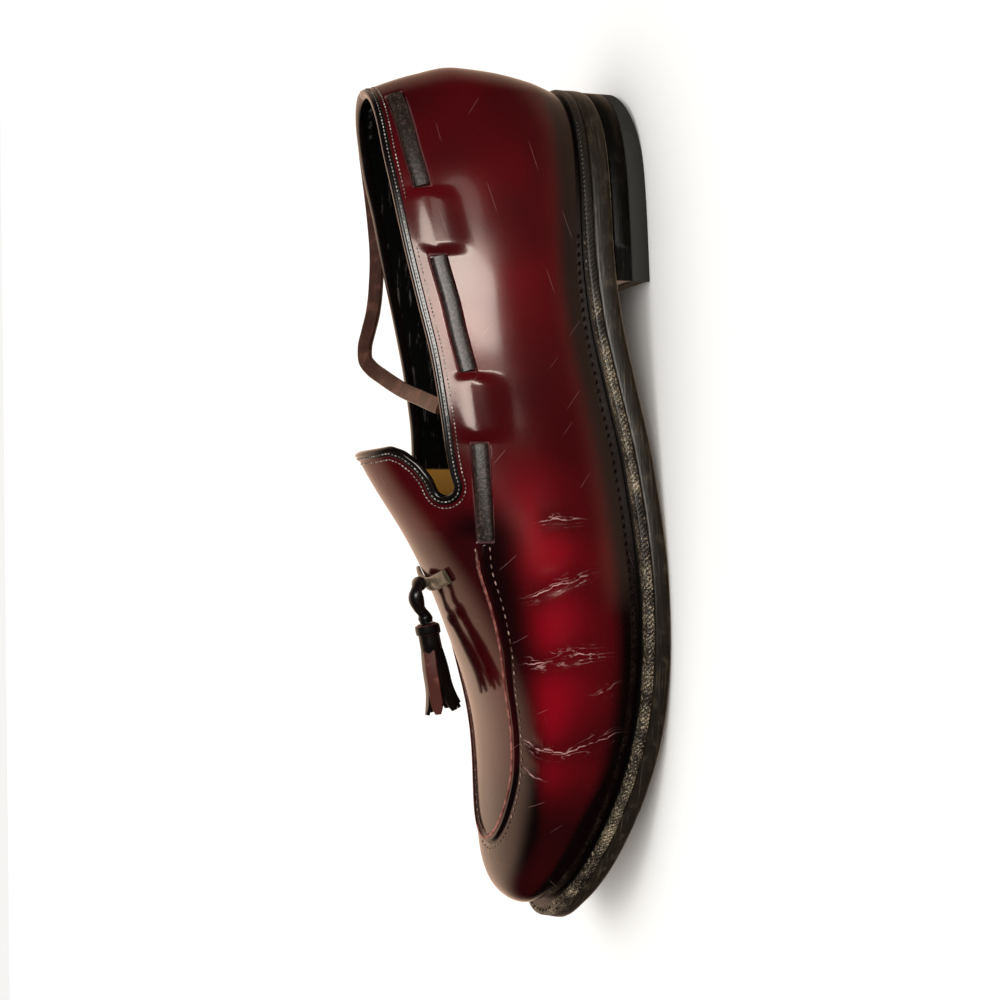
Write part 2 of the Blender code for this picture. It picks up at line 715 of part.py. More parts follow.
def make_tassel(place, material):
    """Tassel on the lace's end: a tapered head with its strips fused around it."""
    (head_station, head_side, head_height), (tip_station, tip_side, tip_height) = TASSEL_AXES[place]
    head = Vector(to_world((head_side, head_station, head_height)))
    tip = Vector(to_world((tip_side, tip_station, tip_height)))
    axis = tip - head
    frame = axis.to_track_quat("Z", "Y").to_matrix().to_4x4()
    frame.translation = head
    name = f"tassel_{place}"
    bm = bmesh.new()
    bmesh.ops.create_cone(
        bm,
        cap_ends=True,
        segments=TASSEL_SIDES,
        radius1=TASSEL_HEAD_RADIUS * 0.001,
        radius2=TASSEL_HEAD_RADIUS * TASSEL_TAPER * 0.001,
        depth=TASSEL_HEAD_LENGTH * 0.001,
    )
    bmesh.ops.translate(bm, verts=bm.verts, vec=(0, 0, TASSEL_HEAD_LENGTH * 0.0005))
    tassel = new_object(name, finish_mesh(bm, name), material)
    tassel.matrix_world = frame
    for number in range(TASSEL_STRIPS):
        angle = 2 * math.pi * (number + 0.5) / TASSEL_STRIPS
        strip = tassel_strip(f"{name}_strip_{number}", angle, axis.length * 1000, frame)
        add_boolean(tassel, strip, "UNION")


# ---------------------------------------------------------------- sole


def foot_outline(reach_scale, inset=0.0):
    """Lateral and medial edge of the foot from heel to toe, moved out by the sole's reach or in."""
    count = OUTLINE_POINTS
    share = np.linspace(0, math.pi, count)
    stations = LAST_LENGTH * (1 - np.cos(share)) / 2
    lateral = last_point(stations, np.zeros(count))[:, :2]
    medial = last_point(stations, np.ones(count))[:, :2]
    loop = np.concatenate([lateral, medial[-2:0:-1]])
    tangent = np.roll(loop, -1, axis=0) - np.roll(loop, 1, axis=0)
    outward = np.stack([tangent[:, 1], -tangent[:, 0]], axis=-1)
    outward /= np.linalg.norm(outward, axis=-1, keepdims=True)
    reach = np.concatenate([read_table(REACH_LATERAL, stations), read_table(REACH_MEDIAL, stations)[-2:0:-1]])
    loop = loop + outward * (reach * reach_scale - inset)[:, None]
    return loop[:count], np.concatenate([loop[:1], loop[: count - 2 : -1]])


def under_seat(flat, depth):
    """Points under the welt's top at flat points (side, station), square to the rise of the toe."""
    side = flat[..., 0]
    station = flat[..., 1]
    inside = np.clip(station, 1.0, LAST_LENGTH - 1.0)
    rise = (section_value("seat", inside + 1.0) - section_value("seat", inside - 1.0)) / 2
    height = section_value("seat", inside) + rise * (station - inside) - depth
    return np.stack([side, station + depth * np.maximum(rise, 0.0), height], axis=-1)


def tread(flat):
    """Underside of the outsole: flat on the floor under the ball."""
    station = flat[..., 1]
    return under_seat(flat, np.minimum(read_table(EDGE_THICKNESS, station), section_value("seat", station)))


def below_tread(flat, gap):
    """The heel's top: the outsole's underside less a gap."""
    point = tread(flat)
    point[..., 2] -= gap
    return point


def level(flat, height):
    return np.concatenate([flat, np.broadcast_to(height, flat.shape[:-1])[..., None]], axis=-1)


def worn_heel(flat):
    """Underside of the heel: level, with the back lateral corner worn up."""
    back = np.clip(1 - flat[..., 1] / HEEL_WEAR_REACH, 0, 1) ** 1.5
    across = np.clip(0.55 + flat[..., 0] / HEEL_WEAR_SPAN, 0, 1)
    return level(flat, HEEL_WEAR * back * across)


def close_layers(bm, top, bottom):
    """Makes a flat grid a solid: its own vertices go to top(flat) and a copy's to bottom(flat)."""
    bmesh.ops.remove_doubles(bm, verts=bm.verts, dist=MERGE * 0.001)
    upper_layer = list(bm.verts)
    swept = bmesh.ops.extrude_face_region(bm, geom=bm.faces[:])
    lower_layer = [item for item in swept["geom"] if isinstance(item, bmesh.types.BMVert)]
    for layer, surface in ((upper_layer, top), (lower_layer, bottom)):
        flat = np.array([(vert.co.x * 1000 + WORLD_SIDE, WORLD_STATION - vert.co.y * 1000) for vert in layer])
        for vert, point in zip(layer, to_world(surface(flat))):
            vert.co = point
    bmesh.ops.recalc_face_normals(bm, faces=bm.faces)


def plate(name, lateral, medial, top, bottom, material):
    """Solid between two edges, its top and bottom surfaces given as functions of flat points."""

    def place(column, row):
        cell = np.rint(row * (len(lateral) - 1)).astype(int)
        return level(lateral[cell] + (medial[cell] - lateral[cell]) * column[:, None], 0.0)

    bm = mapped_grid(PLATE_COLUMNS, len(lateral) - 1, place)
    close_layers(bm, top, bottom)
    return new_object(name, finish_mesh(bm, name), material)


def make_sole(materials):
    lateral, medial = foot_outline(1.0)
    inner_lateral, inner_medial = foot_outline(0.0, FOOT_INSET)
    outer = np.concatenate([lateral, medial[-2:0:-1]])
    inner = np.concatenate([inner_lateral, inner_medial[-2:0:-1]])

    def ring(column, row):
        cell = np.rint(row * len(outer)).astype(int) % len(outer)
        return level(outer[cell] + (inner[cell] - outer[cell]) * column[:, None], 0.0)

    bm = mapped_grid(1, len(outer), ring)
    welt_bottom = partial(under_seat, depth=WELT_THICKNESS)
    close_layers(bm, partial(under_seat, depth=0.0), welt_bottom)
    new_object("welt", finish_mesh(bm, "welt"), materials["welt"])

    outsole_top = partial(under_seat, depth=WELT_THICKNESS + GAP)
    plate("outsole", lateral, medial, outsole_top, tread, materials["sole"])

    lateral, medial = foot_outline(0.0, FOOT_INSET + GAP)
    insole_top = partial(under_seat, depth=-INSOLE_RISE)
    plate("insole", lateral, medial, insole_top, welt_bottom, materials["insole"])


def heel_edges(inset):
    """Lateral and medial edge of the heel, from its back to the flat breast."""
    edges = []
    for edge in foot_outline(1.0, inset):
        behind = edge[edge[:, 1] < HEEL_BREAST - 2]
        side = np.interp(HEEL_BREAST, edge[:, 1], edge[:, 0])
        edges.append(np.concatenate([behind, [(side, HEEL_BREAST)]]))
    count = min(len(edge) for edge in edges)
    return edges[0][:count], edges[1][:count]


def make_heel(materials):
    lateral, medial = heel_edges(HEEL_INSET)
    stack_top = partial(below_tread, gap=GAP)
    stack_bottom = partial(level, height=HEEL_LIFT + GAP)
    plate("heel_stack", lateral, medial, stack_top, stack_bottom, materials["stack"])
    lift_top = partial(level, height=HEEL_LIFT)
    plate("heel_top_piece", lateral, medial, lift_top, worn_heel, materials["rubber"])


# ---------------------------------------------------------------- assembly


def main():
    for old in list(bpy.data.objects):
        bpy.data.objects.remove(old, do_unlink=True)
    new_collection(COLLECTION)
    new_collection(CUTTERS)
    materials = {
        "leather": new_material("burgundy_leather", (0.09, 0.006, 0.012), 0.18),
        "binding": new_material("black_binding", (0.012, 0.010, 0.010), 0.35),
        "lace": new_material("brown_lace", (0.045, 0.022, 0.016), 0.45),
        "tassel": new_material("black_tassel", (0.016, 0.010, 0.010), 0.35),
        "insole": new_material("tan_insole", (0.30, 0.16, 0.06), 0.60),
        "welt": new_material("grained_welt", (0.050, 0.035, 0.024), 0.60),
        "sole": new_material("dressed_sole", (0.040, 0.035, 0.022), 0.45),
        "stack": new_material("dark_stack", (0.018, 0.017, 0.013), 0.40),
        "rubber": new_material("black_rubber", (0.015, 0.015, 0.012), 0.60),
    }
    make_sole(materials)
    make_heel(materials)
    make_upper(materials["leather"])
    make_binding(materials["binding"])
    make_lace(materials["lace"])
    make_cords(materials["lace"])
    for place in TASSEL_AXES:
        make_tassel(place, materials["tassel"])


main()
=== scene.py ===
"""Looks of a burgundy tassel loafer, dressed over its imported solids."""

import logging
import math
from collections.abc import Callable, Sequence
from dataclasses import dataclass
from enum import Enum

import bmesh
import bpy
import numpy as np
from mathutils import Matrix, Vector


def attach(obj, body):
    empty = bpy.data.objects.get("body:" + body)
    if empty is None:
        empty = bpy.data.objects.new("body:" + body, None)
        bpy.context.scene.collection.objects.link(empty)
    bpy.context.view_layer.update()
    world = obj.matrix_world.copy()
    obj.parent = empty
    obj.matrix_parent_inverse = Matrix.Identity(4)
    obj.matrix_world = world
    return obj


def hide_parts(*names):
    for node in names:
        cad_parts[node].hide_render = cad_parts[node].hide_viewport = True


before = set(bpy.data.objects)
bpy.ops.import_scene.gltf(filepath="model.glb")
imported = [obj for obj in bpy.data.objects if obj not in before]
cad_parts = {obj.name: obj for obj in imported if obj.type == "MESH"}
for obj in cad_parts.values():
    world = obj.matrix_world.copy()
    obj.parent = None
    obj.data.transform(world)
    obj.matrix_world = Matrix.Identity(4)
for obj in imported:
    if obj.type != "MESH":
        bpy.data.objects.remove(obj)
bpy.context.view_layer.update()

Array = np.ndarray
Mesh = bmesh.types.BMesh
Piece = bpy.types.Object
Material = bpy.types.Material
Tree = bpy.types.NodeTree
Node = bpy.types.Node
Socket = bpy.types.NodeSocket
Inputs = dict[str | int, object]
Table = Sequence[Sequence[float]]
Triple = tuple[float, float, float]
Place = Callable[[Array, Array], Array]

log = logging.getLogger("tassel_loafer")

LENGTH = 300.0
BALL_HALF = 48.3
SEAT = 23.0
CREST = 113.0
WALL = 2.2
WORLD_STATION = 152.46
WORLD_SIDE = 1.83
MM = 0.001
METRE = 1000.0
SAME_POINT = 2e-6
NEAR_POINT = 2e-5


# ---- tables and curves


def smooth_curve(positions: Sequence[float], values: Sequence[float], where: Array) -> Array:
    """Monotone cubic through a table.

    Args:
        positions: rising first column.
        values: second column.
        where: positions to read.

    Returns:
        The values there.
    """
    positions = np.asarray(positions, float)
    values = np.asarray(values, float)
    where = np.asarray(where, float)
    slopes = np.diff(values) / np.diff(positions)
    same_way = slopes[:-1] * slopes[1:] > 0
    total = np.where(same_way, slopes[:-1] + slopes[1:], 1.0)
    inner = np.where(same_way, 2 * slopes[:-1] * slopes[1:] / total, 0.0)
    tangents = np.concatenate([slopes[:1], inner, slopes[-1:]])
    cell = np.clip(np.searchsorted(positions, where) - 1, 0, len(positions) - 2)
    width = positions[cell + 1] - positions[cell]
    t = (where - positions[cell]) / width
    return (
        values[cell] * (1 + 2 * t) * (1 - t) ** 2
        + tangents[cell] * width * t * (1 - t) ** 2
        + values[cell + 1] * t * t * (3 - 2 * t)
        + tangents[cell + 1] * width * t * t * (t - 1)
    )


def read_table(table: Table, where: Array) -> Array:
    """Second column of a two-column table as a smooth curve, held level past its ends."""
    columns = np.array(table, float)
    return smooth_curve(columns[:, 0], columns[:, 1], np.clip(where, columns[0, 0], columns[-1, 0]))


def soft_step(value: Array) -> Array:
    """Smooth rise from 0 to 1 as the value goes from 0 to 1."""
    value = np.clip(value, 0.0, 1.0)
    return value * value * (3 - 2 * value)


def lengths_along(line: Array) -> Array:
    """Distance of each point of a line from its start, along the line."""
    return np.concatenate([[0.0], np.cumsum(np.linalg.norm(np.diff(line, axis=0), axis=1))])


def unit(vectors: Array) -> Array:
    """Vectors scaled to a length of one."""
    return vectors / np.linalg.norm(vectors, axis=-1, keepdims=True)


def read_rows(where: Array, marks: Array, rows: Array) -> Array:
    """Rows of numbers read at places between their marks."""
    return np.column_stack([np.interp(where, marks, rows[:, column]) for column in range(rows.shape[1])])


def route_curve(points: Table, count: int) -> Array:
    """Smooth curve through route points.

    Args:
        points: route points, three numbers each.
        count: how many points to return.

    Returns:
        Evenly spaced points, one row each.
    """
    route = np.array(points, float)
    marks = lengths_along(route)
    dense = np.linspace(0, marks[-1], 40 * len(route))
    curve = np.column_stack([smooth_curve(marks, route[:, axis], dense) for axis in range(route.shape[1])])
    lengths = lengths_along(curve)
    return read_rows(np.linspace(0, lengths[-1], count), lengths, curve)


def to_world(points: Array) -> Array:
    """Places on the shoe as places in the world.

    Args:
        points: side, station and height in millimetres.

    Returns:
        The points in metres.
    """
    points = np.asarray(points, float)
    world = np.stack([points[..., 0] - WORLD_SIDE, WORLD_STATION - points[..., 1], points[..., 2]], axis=-1)
    return world * MM


# ---- the last


class Last:
    """The form the upper is pulled over, from the same sections as the solids.

    Points are given by a station, from the heel, and a turn, from the lateral foot over the crown.
    """

    # rows of station, swing, half width, seat, crown and fullness, as shares of the shoe's own sizes
    SECTIONS = (
        (0.000, 0.000, 0.000, 1.000, 0.990, 2.20),
        (0.017, 0.000, 0.330, 1.000, 0.990, 2.20),
        (0.040, 0.000, 0.485, 1.000, 0.990, 2.20),
        (0.083, 0.000, 0.620, 1.000, 0.990, 2.20),
        (0.150, 0.000, 0.695, 1.000, 1.000, 2.20),
        (0.217, 0.005, 0.710, 0.995, 1.000, 2.20),
        (0.300, 0.030, 0.705, 0.910, 0.980, 2.20),
        (0.383, 0.070, 0.715, 0.715, 0.925, 2.20),
        (0.467, 0.100, 0.760, 0.525, 0.820, 2.12),
        (0.550, 0.100, 0.850, 0.430, 0.682, 2.06),
        (0.617, 0.072, 0.935, 0.398, 0.588, 2.10),
        (0.683, 0.027, 0.995, 0.396, 0.512, 2.15),
        (0.733, -0.010, 1.000, 0.420, 0.460, 2.20),
        (0.783, -0.045, 0.963, 0.478, 0.428, 2.25),
        (0.833, -0.082, 0.885, 0.575, 0.416, 2.30),
        (0.883, -0.128, 0.770, 0.710, 0.414, 2.35),
        (0.927, -0.175, 0.635, 0.865, 0.408, 2.35),
        (0.960, -0.210, 0.490, 0.995, 0.390, 2.30),
        (0.984, -0.235, 0.330, 1.080, 0.360, 2.20),
        (1.000, -0.250, 0.000, 1.125, 0.239, 2.10),
    )
    WIDEST_SHARE = 0.26
    WIDEST_LIMIT = 16.0
    TUCK = math.radians(24)
    TUCK_IN = (0.35, 1.0)
    BACK_LEAN = (
        (23.0, 7.0), (34.0, 3.0), (48.0, 0.6), (60.0, 0.0),
        (74.0, 3.4), (84.0, 7.0), (94.0, 11.5), (113.0, 21.0),
    )
    BACK_LEAN_REACH = 80.0
    TOE_UNDERCUT = ((0.0, 3.2), (4.0, 2.2), (9.0, 0.6), (15.0, 0.0), (60.0, 0.0))
    TOE_UNDERCUT_REACH = 30.0
    FAIR_SPAN = 5.0

    def __init__(self) -> None:
        """Reads the section table once, faired as a last maker rasps out the lines between sections."""
        table = np.array(self.SECTIONS)
        stations = table[:, 0] * LENGTH
        self.stations = np.linspace(0, LENGTH, 1201)
        seat = smooth_curve(stations, table[:, 3] * SEAT, self.stations)
        rise = smooth_curve(stations, (table[:, 4] * CREST - table[:, 3] * SEAT) ** 2, self.stations)
        half = smooth_curve(stations, (table[:, 2] * BALL_HALF) ** 2, self.stations)
        self.columns = {
            "swing": self.fair(smooth_curve(stations, table[:, 1] * BALL_HALF, self.stations)),
            "half": np.sqrt(np.maximum(self.fair(half), 0.0)),
            "seat": self.fair(seat),
            "fullness": self.fair(smooth_curve(stations, table[:, 5], self.stations)),
        }
        self.columns["crown"] = self.columns["seat"] + np.sqrt(np.maximum(self.fair(rise), 0.0))

    def fair(self, values: Array) -> Array:
        """Evens out a dense column, keeping its ends and its slope there."""
        reach = int(3 * self.FAIR_SPAN / (LENGTH / 1200))
        spots = np.arange(-reach, reach + 1) * LENGTH / 1200
        weights = np.exp(-0.5 * (spots / self.FAIR_SPAN) ** 2)
        head = 2 * values[0] - values[reach:0:-1]
        tail = 2 * values[-1] - values[-2 : -reach - 2 : -1]
        return np.convolve(np.concatenate([head, values, tail]), weights / weights.sum(), mode="valid")

    def read(self, name: str, station: Array) -> Array:
        """One faired column at a station."""
        return np.interp(station, self.stations, self.columns[name])

    def point(self, station: Array, turn: Array) -> Array:
        """Point of the last.

        Args:
            station: distance from the heel.
            turn: 0 at the lateral foot, 0.5 on the crown, 1 at the medial foot.

        Returns:
            Side, station and height in millimetres.
        """
        station, turn = np.broadcast_arrays(np.asarray(station, float), np.asarray(turn, float))
        angle = -self.TUCK + turn * (math.pi + 2 * self.TUCK)
        across = np.cos(angle)
        rise = np.sin(angle)
        power = 2.0 / self.read("fullness", station)
        seat = self.read("seat", station) + 0.3
        crown = np.maximum(self.read("crown", station), seat)
        widest = seat + np.minimum(self.WIDEST_SHARE * (crown - seat), self.WIDEST_LIMIT)
        tuck_in = np.where(across > 0, self.TUCK_IN[0], self.TUCK_IN[1])
        outward = np.abs(across) ** power
        outward = np.where(rise < 0, 1.0 - tuck_in * (1.0 - outward), outward)
        side = self.read("swing", station) + self.read("half", station) * np.sign(across) * outward
        over = widest + (crown - widest) * np.abs(rise) ** power
        under = widest - (widest - seat) * np.abs(rise) / math.sin(self.TUCK)
        height = np.where(rise >= 0, over, under)
        lean = read_table(self.BACK_LEAN, height) * np.clip(1 - station / self.BACK_LEAN_REACH, 0, 1) ** 2
        toe = np.clip((station - LENGTH) / self.TOE_UNDERCUT_REACH + 1, 0, 1) ** 2
        forward = station + lean - read_table(self.TOE_UNDERCUT, height - seat) * toe
        return np.stack([side, forward, height], axis=-1)

    def frame(self, station: Array, turn: Array) -> tuple[Array, Array, Array]:
        """The last's surface at a place.

        Args:
            station: distance from the heel.
            turn: share of the way over from the lateral to the medial foot.

        Returns:
            Point, outward unit normal and the length of one whole turn there, in millimetres.
        """
        station, turn = np.broadcast_arrays(np.asarray(station, float), np.asarray(turn, float))
        behind = np.clip(station - 0.5, 0.01, LENGTH - 0.01)
        ahead = np.clip(station + 0.5, 0.02, LENGTH)
        along = self.point(ahead, turn) - self.point(behind, turn)
        low = np.clip(turn - 0.002, 0, 1)
        high = np.clip(turn + 0.002, 0, 1)
        around = (self.point(station, high) - self.point(station, low)) / (high - low)[..., None]
        normal = np.cross(along, around)
        normal /= np.maximum(np.linalg.norm(normal, axis=-1, keepdims=True), 1e-9)
        return self.point(station, turn), normal, np.linalg.norm(around, axis=-1)


LAST = Last()


# ---- mesh helpers


def mapped_grid(columns: int, rows: int, place: Place) -> Mesh:
    """Grid bent into shape.

    Args:
        columns: cells across.
        rows: cells along.
        place: gives points in millimetres for arrays of column and row numbers.

    Returns:
        The bent grid.
    """
    bm = bmesh.new()
    bmesh.ops.create_grid(bm, x_segments=columns, y_segments=rows, size=1.0)
    shares = np.array([(vert.co.x, vert.co.y) for vert in bm.verts]) * 0.5 + 0.5
    cells = np.rint(shares * (columns, rows)).astype(int)
    for vert, point in zip(bm.verts, to_world(place(cells[:, 0], cells[:, 1]))):
        vert.co = point
    return bm


def close_up(bm: Mesh, gap: float, fill: bool = True) -> None:
    """Closes a shape and turns its faces outwards.

    Args:
        bm: the shape.
        gap: distance in metres under which points are merged.
        fill: whether open ends get a face.
    """
    bmesh.ops.remove_doubles(bm, verts=bm.verts, dist=gap)
    if fill:
        bmesh.ops.holes_fill(bm, edges=[edge for edge in bm.edges if edge.is_boundary], sides=0)
    bmesh.ops.recalc_face_normals(bm, faces=bm.faces)


def sweep(path: Array, across: Array, normal: Array, profile: Array, loop: bool) -> Mesh:
    """Closed profile carried along a path.

    Args:
        path: points in millimetres.
        across: unit vector at each point for the profile's first coordinate.
        normal: unit vector at each point for its second.
        profile: profile points, or one profile for each path point.
        loop: whether the path closes on itself.

    Returns:
        A closed surface.
    """
    count = len(path)
    profile = np.broadcast_to(profile, (count, *profile.shape[-2:]))
    sides = profile.shape[1]

    def place(column: Array, row: Array) -> Array:
        """Points of the profiles."""
        spot = row % count
        corner = profile[spot, column % sides]
        return path[spot] + across[spot] * corner[:, :1] + normal[spot] * corner[:, 1:]

    bm = mapped_grid(sides, count if loop else count - 1, place)
    close_up(bm, SAME_POINT, fill=not loop)
    return bm


def path_frames(path: Array, up: Array) -> tuple[Array, Array]:
    """Directions of a profile carried along a path.

    Args:
        path: points in millimetres.
        up: the side that the profile's second coordinate should face.

    Returns:
        Unit vectors across the path, and square to it on that side.
    """
    tangent = unit(np.gradient(path, axis=0))
    across = unit(np.cross(np.broadcast_to(up, path.shape), tangent))
    return across, np.cross(tangent, across)


def strap_profile(width: float, thickness: float, crown: float = 0.25, corner: float = 0.3) -> Array:
    """Cross-section of a flat leather strip with rounded edges and a slightly crowned top.

    Args:
        width: the strip's width.
        thickness: its thickness.
        crown: how much higher the middle lies.
        corner: how much its edges are cut.

    Returns:
        Its points, with the underside at zero.
    """
    half = width / 2
    top = [(half * share, thickness + crown * (1 - share * share)) for share in (-0.9, -0.5, 0.0, 0.5, 0.9)]
    right = [(half, thickness - corner), (half, corner), (half - corner, 0.0)]
    left = [(-half + corner, 0.0), (-half, corner), (-half, thickness - corner)]
    return np.array(top + right + left)


def linked(name: str, data: bpy.types.ID) -> Piece:
    """New object in the scene."""
    piece = bpy.data.objects.new(name, data)
    bpy.context.scene.collection.objects.link(piece)
    return piece


def new_piece(name: str, bm: Mesh, finishes: Sequence[Material]) -> Piece:
    """Mesh object from a bmesh, smooth shaded, riding on the shoe.

    Args:
        name: the piece's name.
        bm: its shape, freed here.
        finishes: its materials.

    Returns:
        The object.
    """
    mesh = bpy.data.meshes.new(name)
    bm.to_mesh(mesh)
    bm.free()
    mesh.shade_smooth()
    mesh.set_sharp_from_angle(angle=math.radians(50))
    piece = linked(name, mesh)
    for finish in finishes:
        mesh.materials.append(finish)
    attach(piece, "root")
    log.info("%s: %d faces", name, len(mesh.polygons))
    return piece


def give_values(bm: Mesh, values: dict[str, Array]) -> None:
    """Stores values on a shape's points, for its finish to read.

    Args:
        bm: the shape.
        values: a number or a vector for each point, by name.
    """
    kinds = {1: bm.verts.layers.float, 2: bm.verts.layers.float_vector}
    layers = {key: kinds[array.ndim].new(key) for key, array in values.items()}
    bm.verts.ensure_lookup_table()
    for key, layer in layers.items():
        for vert, value in zip(bm.verts, values[key].tolist()):
            vert[layer] = value


# ---- finishes


def linear(colour: str) -> tuple[float, float, float, float]:
    """sRGB hex colour to linear values with full alpha."""
    parts = [int(colour[place : place + 2], 16) / 255 for place in (1, 3, 5)]
    return (*[part / 12.92 if part <= 0.04045 else ((part + 0.055) / 1.055) ** 2.4 for part in parts], 1.0)


def feed(tree: Tree, node: Node, inputs: Inputs) -> None:
    """Sets a node's inputs.

    Args:
        tree: the node's tree.
        node: the node.
        inputs: values or driving sockets, by the input's name or number.
    """
    for name, value in inputs.items():
        if isinstance(value, Socket):
            tree.links.new(value, node.inputs[name])
        else:
            node.inputs[name].default_value = value


# the output and the settings that a kind of node has unless others are asked for
USUAL = {
    "Attribute": ("Fac", {}),
    "MapRange": (0, {"interpolation_type": "SMOOTHSTEP"}),
    "Mix": (2, {"data_type": "RGBA"}),
    "TexCoord": ("Object", {}),
}


def add(
    tree: Tree, kind: str, inputs: Inputs | None = None, output: int | str | None = None, **settings: object
) -> Socket:
    """Adds a node.

    Args:
        tree: the material's or the world's tree.
        kind: the node's type, after its prefix.
        inputs: values or sockets, by the input's name or number.
        output: the output to hand on.
        settings: the node's own properties.

    Returns:
        That output.
    """
    usual_output, usual_settings = USUAL.get(kind, (0, {}))
    node = tree.nodes.new("ShaderNode" + kind)
    for name, value in {**usual_settings, **settings}.items():
        setattr(node, name, value)
    feed(tree, node, inputs or {})
    return node.outputs[usual_output if output is None else output]


@dataclass(frozen=True)
class Finish:
    """A material: its name, main colour and roughness, and the pattern that a kind of finish lays over them."""

    name: str
    colour: str
    roughness: float

    def pattern(self, tree: Tree) -> Inputs:
        """The shader's inputs: values where they are even, sockets where they vary."""
        return {}

    def build(self) -> Material:
        """Makes the material."""
        material = bpy.data.materials.new(self.name)
        material.use_nodes = True
        tree = material.node_tree
        shader = tree.nodes["Principled BSDF"]
        feed(tree, shader, {"Base Color": linear(self.colour), "Roughness": self.roughness})
        feed(tree, shader, self.pattern(tree))
        return material


